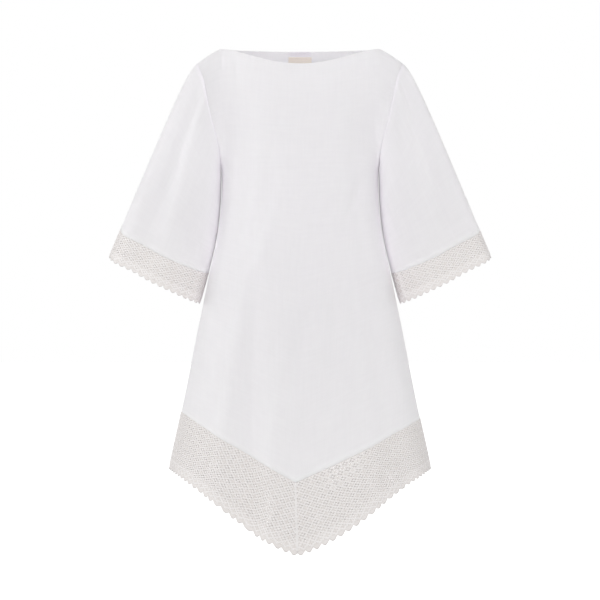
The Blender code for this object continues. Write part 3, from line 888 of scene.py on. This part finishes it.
def linen_material(look):
    """Plain-weave linen: uneven warp and weft yarns, slubs, a dry matt face and a whiter turning."""
    material, tree, shader = new_material("linen cloth", look.roughness, LINEN_SHEEN)
    flat = tree.add("UVMap", uv_map="cloth").outputs["UV"]
    warp = tree.uneven(flat, WARP_STRETCH, detail=3.0)
    weft = tree.uneven(flat, WEFT_STRETCH, detail=3.0)
    warp_slubs = tree.uneven(flat, WARP_SLUB_STRETCH, detail=2.0)
    weft_slubs = tree.uneven(flat, WEFT_SLUB_STRETCH, detail=2.0)
    yarns = tree.calc("ADD", warp, weft)
    slubs = tree.calc("ADD", warp_slubs, weft_slubs)
    tone = tree.calc("ADD", tree.spread(yarns, *YARN_TONES), tree.spread(slubs, *SLUB_TONES))
    cloth = tree.mix(tone, look.shade_colour, look.colour)
    colour = tree.mix(tree.attribute("doubled"), cloth, look.doubled_colour)
    across_yarns = tree.ridges(flat, "X", look.yarn_pitch)
    along_yarns = tree.ridges(flat, "Y", look.yarn_pitch)
    weave = tree.calc("ADD", across_yarns, along_yarns)
    relief = tree.calc("ADD", tree.calc("MULTIPLY", weave, WEAVE_RELIEF), slubs)
    tree.cover(shader, colour, relief, LINEN_BUMP, look.relief)
    shader.inputs["Subsurface Radius"].default_value = (1.0, 1.0, 1.0)
    shader.inputs["Subsurface Scale"].default_value = LIGHT_SPREAD
    soaking = tree.spread(tree.attribute("joined"), 0.0, 1.0, look.light_through, 0.0)
    tree.links.new(soaking, shader.inputs["Subsurface Weight"])
    return material


def crochet_material(look):
    """Matt mercerised cotton thread, with twist and loops in its relief, painted lighter where raised and in
    warm painted shade in its depths.
    """
    material, tree, shader = new_material("crochet thread", look.roughness, CROCHET_SHEEN)
    place = tree.add("TexCoord").outputs["Object"]
    loops = tree.uneven(place, LOOP_STRETCH, detail=3.0)
    patches = tree.uneven(place, PATCH_STRETCH, detail=2.0)
    loop_tone = tree.calc("MULTIPLY", tree.calc("ADD", loops, patches), LOOP_TONE)
    # Painted light and shade: the more raised a point of the thread, the lighter it is painted; what lies
    # low gets warm painted shade.
    painted_raised_light = tree.calc("MULTIPLY", tree.attribute("raised"), RAISED_PAINTED_LIGHT)
    tone = tree.spread(tree.calc("ADD", loop_tone, painted_raised_light), *THREAD_TONES)
    tree.cover(shader, tree.mix(tone, look.shade_colour, look.colour), loops, CROCHET_BUMP, look.relief)
    return material


def label_material(look):
    """A blank woven tape: fine ribs across a satin ground."""
    material, tree, shader = new_material("woven label", LABEL_ROUGHNESS, LABEL_SHEEN)
    flat = tree.add("UVMap", uv_map="cloth").outputs["UV"]
    yarn = tree.uneven(flat, TAPE_STRETCH, detail=2.0)
    colour = tree.mix(tree.spread(yarn, *TAPE_TONES), look.shade_colour, look.colour)
    tree.cover(shader, colour, tree.ridges(flat, "Y", RIB_PITCH), LABEL_BUMP, LABEL_RELIEF)
    return material


def material_of(name, make, look):
    return bpy.data.materials.get(name) or make(look)


# Making pieces


def finish_piece(bm, name, material, nodes):
    """Turns a bmesh into a smooth piece that rides on the dress and stands for these solids."""
    for face in bm.faces:
        face.smooth = True
    mesh = bpy.data.meshes.new(name)
    bm.to_mesh(mesh)
    bm.free()
    mesh.materials.append(material)
    piece = bpy.data.objects.new(name, mesh)
    bpy.context.scene.collection.objects.link(piece)
    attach(piece, "root")
    if nodes:
        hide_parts(*nodes)
    return piece


def thicken(piece, thickness):
    solid = piece.modifiers.new("thickness", "SOLIDIFY")
    solid.thickness = thickness
    solid.offset = 0.0


def keep_flat_map(bm):
    """Keeps where each corner lies on the flat cloth as the piece's own UV map, in metres."""
    layer = bm.loops.layers.uv.new("cloth")
    for face in bm.faces:
        for loop in face.loops:
            loop[layer].uv = loop.vert.co.xy


def face_away_from(bm, axis_point):
    """Turns all faces over if most of the cloth faces its own hollow."""
    total = sum(face.normal.dot(face.calc_center_median() - axis_point) for face in bm.faces)
    if total < 0:
        bmesh.ops.reverse_faces(bm, faces=bm.faces)


def nowhere(row, column):
    return 0.0


def cloth_bmesh(rows, doubled_at=nowhere, joined_at=nowhere):
    """A sheet through rows of points, with where it is double and where it is joined, from 0 to 1."""
    bm = bmesh.new()
    doubled = bm.verts.layers.float.new("doubled")
    joined = bm.verts.layers.float.new("joined")
    count = len(rows[0])
    grid = bmesh.ops.create_grid(bm, x_segments=count - 1, y_segments=len(rows) - 1)["verts"]
    runs = [lengths_along(row) for row in rows]
    down = lengths_along([row[count // 2] for row in rows])
    for i, vert in enumerate(grid):
        row, column = divmod(i, count)
        vert.co = Vector((runs[row][column] - runs[row][count // 2], down[row], 0.0))
    keep_flat_map(bm)
    for i, vert in enumerate(grid):
        row, column = divmod(i, count)
        vert.co = rows[row][column]
        vert[doubled] = doubled_at(row, column)
        vert[joined] = joined_at(row, column)
    for edge in bm.edges:
        edge.smooth = not edge.is_boundary
    bm.normal_update()
    return bm


def make_panel(panel, look, material):
    rows = linen_rows(panel)
    last = len(HEM_ROWS) - 2
    columns = len(rows[0])
    label_end = LABEL_TOP_Z - LABEL_DEPTH

    def doubled_at(row, column):
        return 1.0 if row < last else 0.0

    def joined_at(row, column):
        """At the seams and behind the label, where two pieces of cloth touch and no light soaks through."""
        point = rows[row][column]
        at_seam = min(column, columns - 1 - column) <= len(SEAM_SHARES)
        at_label = panel == BACK and abs(point.x) < LABEL_WIDTH / 2 and point.z > label_end
        return 1.0 if at_seam or at_label else 0.0

    bm = cloth_bmesh(rows, doubled_at, joined_at)
    name = PANEL_NAMES[panel]
    piece = finish_piece(bm, f"{name}_linen", material, [name])
    thicken(piece, look.thickness)
    return piece


def make_sleeve(side, look, material):
    rows = sleeve_rows(side)
    first = len(rows) - len(CUFF_END_ROWS) + 1

    def doubled_at(row, column):
        return 1.0 if row >= first else 0.0

    def joined_at(row, column):
        return clamp((JOIN_ROWS - row) / JOIN_FADE_ROWS)

    bm = cloth_bmesh(rows, doubled_at, joined_at)
    bmesh.ops.remove_doubles(bm, verts=bm.verts, dist=SAME_POINT)
    bm.normal_update()
    face_away_from(bm, sum((vert.co for vert in bm.verts), Vector()) / len(bm.verts))
    name = f"sleeve_{SIDE_NAMES[side]}"
    piece = finish_piece(bm, f"{name}_linen", material, [name])
    thicken(piece, look.thickness)
    return piece


def trim(bm, point, outward):
    """Cuts away what lies beyond a line on the flat strip."""
    geometry = [*bm.verts, *bm.edges, *bm.faces]
    bmesh.ops.bisect_plane(
        bm, geom=geometry, dist=SAME_POINT, plane_co=point, plane_no=outward, clear_outer=True
    )


def net_bmesh(band, thread):
    """The flat net: threads on the slant both ways, cut to the band's outline."""
    bm = bmesh.new()
    top, bottom = -TUCK_UP, band.depth - EDGING_TOP + EDGING_OVERLAP
    start, stop = min(band.low(top), band.low(bottom)), max(band.high(top), band.high(bottom))
    threads = 4 * math.ceil((stop - start) / band.cell_along + band.depth / band.cell_across)
    middle = round((start + stop) / 2 / band.cell_along) * band.cell_along
    slant = Matrix((
        (band.cell_along / 4, band.cell_along / 4, 0, middle),
        (band.cell_across / 4, -band.cell_across / 4, 0, band.cell_across / 2),
        (0, 0, 1, 0),
        (0, 0, 0, 1),
    ))
    bmesh.ops.create_grid(bm, x_segments=threads, y_segments=threads, size=threads / 2, matrix=slant)
    trim(bm, (0, top, 0), (0, -1, 0))
    trim(bm, (0, bottom, 0), (0, 1, 0))
    for end, sign in ((band.low, -1), (band.high, 1)):
        start, stop = Vector((end(top), top, 0)), Vector((end(bottom), bottom, 0))
        way = stop - start
        trim(bm, start, Vector((way.y, -way.x, 0)) * sign)
    bmesh.ops.dissolve_degenerate(bm, edges=bm.edges, dist=thread * SLIVER)
    holes = [f for f in bm.faces if f.calc_area() / f.calc_perimeter() > thread * SMALLEST_HOLE]
    cells = {OPEN: [], CLOSER: [], CLOSEST: []}
    for hole in holes:
        cells[closeness_at(band, hole.calc_center_median())].append(hole)
    for closeness, faces in cells.items():
        width = thread * closeness / 2
        bmesh.ops.inset_individual(bm, faces=faces, thickness=width, use_even_offset=True)
    bmesh.ops.delete(bm, geom=holes, context="FACES")
    return bm


def lattice_place(band, u, v):
    """Where a point of the strip lies among the main threads, counted each way."""
    down = v / band.cell_across - 0.5
    return u / band.cell_along + down, u / band.cell_along - down


def closeness_at(band, point):
    """How wide the threads are round a hole: least in the cells that hold a knot, most near the edging."""
    if point.y > band.depth - CLOSEST_DEPTH:
        return CLOSEST
    first, second = lattice_place(band, point.x, point.y)
    return CLOSER if (math.floor(first) - math.floor(second)) % 2 else OPEN


def raised_at(band, thread, u, v):
    """How near a point of the net is to a main thread, from 0 to 1, which lifts it and sets how light it is
    painted. Every other thread is a main one.
    """
    spacing = band.cell_along * band.cell_across / math.hypot(band.cell_along, band.cell_across)
    gaps = [abs(line - round(line)) for line in lattice_place(band, u, v)]
    return clamp(1 - min(gaps) * spacing / (thread / 2))


def add_edging(bm, band):
    """A close strip below the net, whose lower edge hangs in scallops."""
    columns = band.scallops * EDGING_COLUMNS
    grid = bmesh.ops.create_grid(bm, x_segments=columns, y_segments=EDGING_ROWS)["verts"]
    for i, vert in enumerate(grid):
        row, column = divmod(i, columns + 1)
        tooth = math.sin(math.pi * (column / EDGING_COLUMNS % 1)) ** SCALLOP_POINT
        lowest = band.depth - SCALLOP_ROOT_RISE + SCALLOP_DEPTH * tooth
        v = mix(band.depth - EDGING_TOP, lowest, row / EDGING_ROWS)
        vert.co = Vector((mix(band.low(v), band.high(v), column / columns), v, 0.0))
    return grid


def add_braids(bm, band):
    """The braids that join this strip to the next one at each end."""
    braids = []
    for end, inward in ((band.low, 1), (band.high, -1)):
        grid = bmesh.ops.create_grid(bm, x_segments=BRAID_COLUMNS, y_segments=SEAM_BRAID_ROWS)["verts"]
        for i, vert in enumerate(grid):
            row, column = divmod(i, BRAID_COLUMNS + 1)
            v = mix(-TUCK_UP, band.depth - EDGING_TOP + EDGING_OVERLAP, row / SEAM_BRAID_ROWS)
            vert.co = Vector((end(v) + inward * SEAM_BRAID_WIDTH * column / BRAID_COLUMNS, v, 0.0))
        braids += grid
    return braids


def make_band(band, name, node, look, material):
    """The net, its edging and its braids, carried from the flat strip onto the dress."""
    bm = net_bmesh(band, look.thread * band.closeness)
    # How raised each point is lifts it and also paints it: main threads and braids lighter, finer threads
    # and the edging in painted shade.
    raised = bm.verts.layers.float.new("raised")
    for vert in bm.verts:
        vert[raised] = raised_at(band, look.thread, vert.co.x, vert.co.y)
    for vert in add_edging(bm, band):
        vert[raised] = EDGING_RAISED
    for vert in add_braids(bm, band):
        vert[raised] = SEAM_BRAID_LIFT
    keep_flat_map(bm)
    for vert in bm.verts:
        point = band.place(vert.co.x, vert.co.y)
        vert.co = point + band.outward(point) * look.ridge * vert[raised]
    if isinstance(band, CuffBand):
        bmesh.ops.remove_doubles(bm, verts=bm.verts, dist=SAME_THREAD)
    bm.normal_update()
    outward = sum(face.normal.dot(band.outward(face.calc_center_median())) for face in bm.faces)
    if outward < 0:
        bmesh.ops.reverse_faces(bm, faces=bm.faces)
    piece = finish_piece(bm, name, material, [node])
    thicken(piece, look.thread_depth)
    return piece


def make_spots(band, name, look, material):
    """A round knot on the net in every other cell, all one mesh."""
    knot = knot_mesh()
    bm = bmesh.new()
    places = []
    for u, v in spot_centres(band):
        bm.from_mesh(knot)
        places += [spot_place(band, u, v, look)] * len(knot.vertices)
    for vert, place in zip(bm.verts, places):
        vert.co = place @ vert.co
    bm.normal_update()
    return finish_piece(bm, name, material, [])


def knot_mesh():
    bm = bmesh.new()
    raised = bm.verts.layers.float.new("raised")
    bmesh.ops.create_uvsphere(bm, u_segments=KNOT_SEGMENTS, v_segments=KNOT_RINGS, radius=0.5)
    # Every knot is marked fully raised, so it is painted as light as the main threads.
    for vert in bm.verts:
        vert[raised] = 1.0
    mesh = bpy.data.meshes.new("knot")
    bm.to_mesh(mesh)
    bm.free()
    return mesh


def spot_centres(band):
    a, b = band.cell_along, band.cell_across
    for row in range(math.ceil(band.spot_rows)):
        v = b * (row + 0.5)
        for column in range(math.floor(band.low(v) / a), math.ceil(band.high(v) / a)):
            u = a * (column + 0.5)
            inside = band.low(v) + a / 2 < u < band.high(v) - a / 2
            if inside and v + b / 2 < band.depth - EDGING_TOP + b * SPOT_OVERHANG:
                yield u, v


def spot_place(band, u, v, look):
    """Carries a ball one metre wide onto the net, as one flattened knot."""
    a, b = band.cell_along / 2, band.cell_across / 2
    centre = band.place(u, v)
    out = band.outward(centre)
    along_way = (band.place(u + a, v) - band.place(u - a, v)).normalized() * look.spot
    across_way = (band.place(u, v + b) - band.place(u, v - b)).normalized() * look.spot
    sizes = Matrix((along_way, across_way, out * look.spot_depth)).transposed().to_4x4()
    return Matrix.Translation(centre + out * look.ridge) @ sizes


def make_label(look, material):
    """A blank label sewn inside the back, just below the neckline."""
    rows = []
    for row in range(LABEL_ROWS + 1):
        z = LABEL_TOP_Z - LABEL_DEPTH * (1 - row / LABEL_ROWS)
        line = []
        for column in range(LABEL_COLUMNS + 1):
            x = LABEL_WIDTH * (0.5 - column / LABEL_COLUMNS)
            share = math.copysign(share_at(abs(x) / half_width(z)), x)
            point = linen_point(BACK, share, z)
            point.y -= look.thickness / 2 + LABEL_GAP
            line.append(point)
        rows.append(line)
    bm = cloth_bmesh(rows)
    piece = finish_piece(bm, "neck_label_tape", material, ["neck_label"])
    thicken(piece, LABEL_THICKNESS)
    return piece


# Settings that a user would change


def colour_setting(name, description, default):
    return bpy.props.FloatVectorProperty(
        name=name, description=description, subtype="COLOR", size=3, min=0.0, max=1.0, default=default
    )


def length_setting(name, description, default):
    return bpy.props.FloatProperty(
        name=name, description=description, default=default, min=0.0, subtype="DISTANCE", unit="LENGTH",
        precision=5,
    )


def share_setting(name, description, default):
    return bpy.props.FloatProperty(
        name=name, description=description, default=default, min=0.0, max=1.0, subtype="FACTOR"
    )


def power_setting(name, description, default):
    return bpy.props.FloatProperty(
        name=name, description=description, default=default, min=0.0, subtype="POWER"
    )


class LinenLook(bpy.types.PropertyGroup):
    colour: colour_setting("Linen", "Colour of the linen's raised yarns", (0.935, 0.905, 0.95))
    shade_colour: colour_setting("Linen depths", "Colour between the yarns", (0.89, 0.86, 0.905))
    doubled_colour: colour_setting("Turning", "Colour where the linen is double", (0.955, 0.925, 0.97))
    roughness: share_setting("Roughness", "How matt the linen is", 0.88)
    light_through: share_setting("Light through", "How much light soaks through the linen", 1.0)
    thickness: length_setting("Thickness", "Thickness of the linen shell", 0.0012)
    yarn_pitch: length_setting("Yarn pitch", "Distance between neighbouring yarns", 0.0007)
    relief: length_setting("Relief", "Height of the weave's relief", 0.0003)


class CrochetLook(bpy.types.PropertyGroup):
    # The thread colour goes on the raised main threads and knots as lit thread, and the depths colour on the
    # finer threads and edging as painted shade, mixed with the loops' own uneven tone.
    colour: colour_setting("Thread", "Colour of the crochet thread", (0.878, 0.853, 0.846))
    shade_colour: colour_setting("Thread depths", "Colour between the thread's loops", (0.728, 0.686, 0.66))
    roughness: share_setting("Roughness", "How matt the thread is", 0.85)
    thread: length_setting("Net thread", "Width of the net's threads", 0.0025)
    thread_depth: length_setting("Net depth", "Depth of the net's threads, through the cloth", 0.0014)
    ridge: length_setting("Ridge", "How far the main threads stand out from the finer ones", 0.0010)
    spot: length_setting("Spot", "Width of a spot", 0.0048)
    spot_depth: length_setting("Spot depth", "Depth of a spot, through the cloth", 0.0030)
    relief: length_setting("Relief", "Height of the thread's loops", 0.0004)


class LabelLook(bpy.types.PropertyGroup):
    colour: colour_setting("Label", "Colour of the label", (0.98, 0.90, 0.82))
    shade_colour: colour_setting("Label depths", "Colour between the label's yarns", (0.93, 0.85, 0.76))


class StudioLook(bpy.types.PropertyGroup):
    surround: share_setting("Surround", "Brightness of the soft light from all sides", 0.54)
    key: power_setting("Key light", "Power of the large light in front, at the camera's left", 70.0)
    fill: power_setting("Fill light", "Power of the large light in front, at the camera's right", 63.5)
    right: power_setting("Light on the right", "Power of the large light beside the wearer's right", 52.5)
    left: power_setting("Light on the left", "Power of the large light beside the wearer's left", 30.0)
    back: power_setting("Back light", "Power of the large light behind the dress", 50.0)
    underarm: power_setting("Underarm light", "Power of the small lights inside the underarms", 0.07)
    cuff: power_setting("Cuff light", "Power of the small light inside each cuff", 0.012)
    hem: power_setting("Hem light", "Power of the small light inside the hem", 0.10)
    neck: power_setting("Neck light", "Power of the small light inside the neck", 0.0105)


# Operators


class DRESS_OT_linen_panels(bpy.types.Operator):
    """Make the front and back, as thin shells of creased linen"""

    bl_idname = "dress.linen_panels"
    bl_label = "Front and back"

    def execute(self, context):
        look = context.scene.dress_linen
        material = material_of("linen cloth", linen_material, look)
        for panel in (FRONT, BACK):
            piece = make_panel(panel, look, material)
        return {"FINISHED"}


class DRESS_OT_sleeves(bpy.types.Operator):
    """Make the two flared sleeves"""

    bl_idname = "dress.sleeves"
    bl_label = "Sleeves"

    def execute(self, context):
        look = context.scene.dress_linen
        material = material_of("linen cloth", linen_material, look)
        for side in (RIGHT, LEFT):
            piece = make_sleeve(side, look, material)
        return {"FINISHED"}


class DRESS_OT_cuff_crochet(bpy.types.Operator):
    """Make the crochet band round each cuff"""

    bl_idname = "dress.cuff_crochet"
    bl_label = "Cuff crochet"

    def execute(self, context):
        look = context.scene.dress_crochet
        material = material_of("crochet thread", crochet_material, look)
        for side in (RIGHT, LEFT):
            band = CuffBand(side)
            name = SIDE_NAMES[side]
            piece = make_band(band, f"cuff_crochet_{name}", f"cuff_lace_{name}", look, material)
            spots = make_spots(band, f"cuff_spots_{name}", look, material)
        return {"FINISHED"}


class DRESS_OT_hem_crochet(bpy.types.Operator):
    """Make the four mitred quarters of the crochet hem"""

    bl_idname = "dress.hem_crochet"
    bl_label = "Hem crochet"

    def execute(self, context):
        look = context.scene.dress_crochet
        material = material_of("crochet thread", crochet_material, look)
        for panel in (FRONT, BACK):
            for side in (RIGHT, LEFT):
                band = HemBand(panel, side)
                name = f"{PANEL_NAMES[panel]}_{SIDE_NAMES[side]}"
                piece = make_band(band, f"hem_crochet_{name}", f"hem_lace_{name}", look, material)
                spots = make_spots(band, f"hem_spots_{name}", look, material)
        return {"FINISHED"}


class DRESS_OT_neck_label(bpy.types.Operator):
    """Make the blank label inside the back neck"""

    bl_idname = "dress.neck_label"
    bl_label = "Neck label"

    def execute(self, context):
        material = material_of("woven label", label_material, context.scene.dress_label)
        piece = make_label(context.scene.dress_linen, material)
        return {"FINISHED"}


class DRESS_OT_studio(bpy.types.Operator):
    """Make the pale floor, the soft light and the camera"""

    bl_idname = "dress.studio"
    bl_label = "Studio"

    def execute(self, context):
        look = context.scene.dress_studio
        make_floor()
        make_world(look)
        for lamp in LARGE_LAMPS:
            make_lamp(lamp, look)
        for side in (RIGHT, LEFT):
            for lamp in SIDE_LAMPS:
                make_lamp(lamp, look, side)
        for lamp in MIDDLE_LAMPS:
            make_lamp(lamp, look)
        make_camera(context.scene)
        context.scene.view_settings.view_transform = "Standard"
        return {"FINISHED"}


def make_floor():
    """A wide sheet of white paper, which leaves the lighting of the dress to the lights."""
    bm = bmesh.new()
    place = Matrix.Translation((0, 0, FLOOR_Z))
    bmesh.ops.create_grid(bm, x_segments=1, y_segments=1, size=FLOOR_SIZE, matrix=place)
    mesh = bpy.data.meshes.new("floor")
    bm.to_mesh(mesh)
    bm.free()
    material = bpy.data.materials.new("white paper")
    shader = NodeTree(material).nodes["Principled BSDF"]
    shader.inputs["Base Color"].default_value = (FLOOR_WHITE, FLOOR_WHITE, FLOOR_WHITE, 1.0)
    shader.inputs["Roughness"].default_value = FLOOR_ROUGHNESS
    shader.inputs["Emission Color"].default_value = (1.0, 1.0, 1.0, 1.0)
    shader.inputs["Emission Strength"].default_value = FLOOR_GLOW
    mesh.materials.append(material)
    floor = bpy.data.objects.new("floor", mesh)
    floor.visible_diffuse = False
    bpy.context.scene.collection.objects.link(floor)
    floor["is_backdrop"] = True


def make_world(look):
    """White all round where the camera sees it, and a soft light of its own strength elsewhere."""
    world = bpy.data.worlds.new("studio")
    tree = NodeTree(world)
    background = tree.nodes["Background"]
    background.inputs["Color"].default_value = (1.0, 1.0, 1.0, 1.0)
    seen = tree.add("LightPath").outputs["Is Camera Ray"]
    tree.links.new(tree.spread(seen, 0.0, 1.0, look.surround, 1.0), background.inputs["Strength"])
    bpy.context.scene.world = world


def make_lamp(lamp, look, side=None):
    """One of the lights in the tables, at its own place or at a side of the dress."""
    name = f"{lamp.name}_{SIDE_NAMES[side]}" if side else lamp.name
    mirror = Vector((side or 1, 1, 1))
    light = bpy.data.lights.new(name, "AREA")
    light.energy = getattr(look, lamp.setting) * lamp.share
    item = bpy.data.objects.new(name, light)
    item.location = Vector(lamp.place) * mirror
    if lamp.facing:
        light.shape = "RECTANGLE"
        light.size, light.size_y = lamp.size
        way = Vector(lamp.facing) * mirror
    else:
        light.shape = "DISK"
        light.size = lamp.size
        way = DRESS_MIDDLE - item.location
    item.rotation_euler = way.to_track_quat("-Z", "Y").to_euler()
    item.visible_camera = False
    bpy.context.scene.collection.objects.link(item)


def make_camera(scene):
    data = bpy.data.cameras.new("camera")
    data.sensor_width = SENSOR
    data.lens = SENSOR * CAMERA_DISTANCE / PHOTO_WIDTH
    data.clip_end = CAMERA_REACH
    camera = bpy.data.objects.new("camera", data)
    camera.location = (0.0, -CAMERA_DISTANCE, PHOTO_CENTRE_Z)
    camera.rotation_euler = (math.pi / 2, 0.0, 0.0)
    scene.collection.objects.link(camera)
    scene.camera = camera


class DRESS_PT_sidebar(bpy.types.Panel):
    """The dress's pieces and their settings"""

    bl_label = "Midi dress"
    bl_idname = "DRESS_PT_sidebar"
    bl_space_type = "VIEW_3D"
    bl_region_type = "UI"
    bl_category = "Dress"

    def draw(self, context):
        for name in LOOKS:
            settings = getattr(context.scene, name)
            box = self.layout.box()
            for key in settings.__annotations__:
                box.prop(settings, key)
        for operator in OPERATORS:
            self.layout.operator(operator.bl_idname)


LOOKS = {
    "dress_linen": LinenLook,
    "dress_crochet": CrochetLook,
    "dress_label": LabelLook,
    "dress_studio": StudioLook,
}
OPERATORS = (
    DRESS_OT_linen_panels,
    DRESS_OT_sleeves,
    DRESS_OT_cuff_crochet,
    DRESS_OT_hem_crochet,
    DRESS_OT_neck_label,
    DRESS_OT_studio,
)


def register():
    for kind in (*LOOKS.values(), *OPERATORS, DRESS_PT_sidebar):
        bpy.utils.register_class(kind)
    for name, kind in LOOKS.items():
        setattr(bpy.types.Scene, name, bpy.props.PointerProperty(type=kind))


def unregister():
    for name in LOOKS:
        delattr(bpy.types.Scene, name)
    for kind in (DRESS_PT_sidebar, *reversed(OPERATORS), *reversed(LOOKS.values())):
        bpy.utils.unregister_class(kind)


def main():
    register()
    for operator in OPERATORS:
        group, name = operator.bl_idname.split(".")
        getattr(getattr(bpy.ops, group), name)()
    boxes = [[list(corner) for corner in box] for box in (SOLIDS_BOX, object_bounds())]


if __name__ == "__main__":
    main()
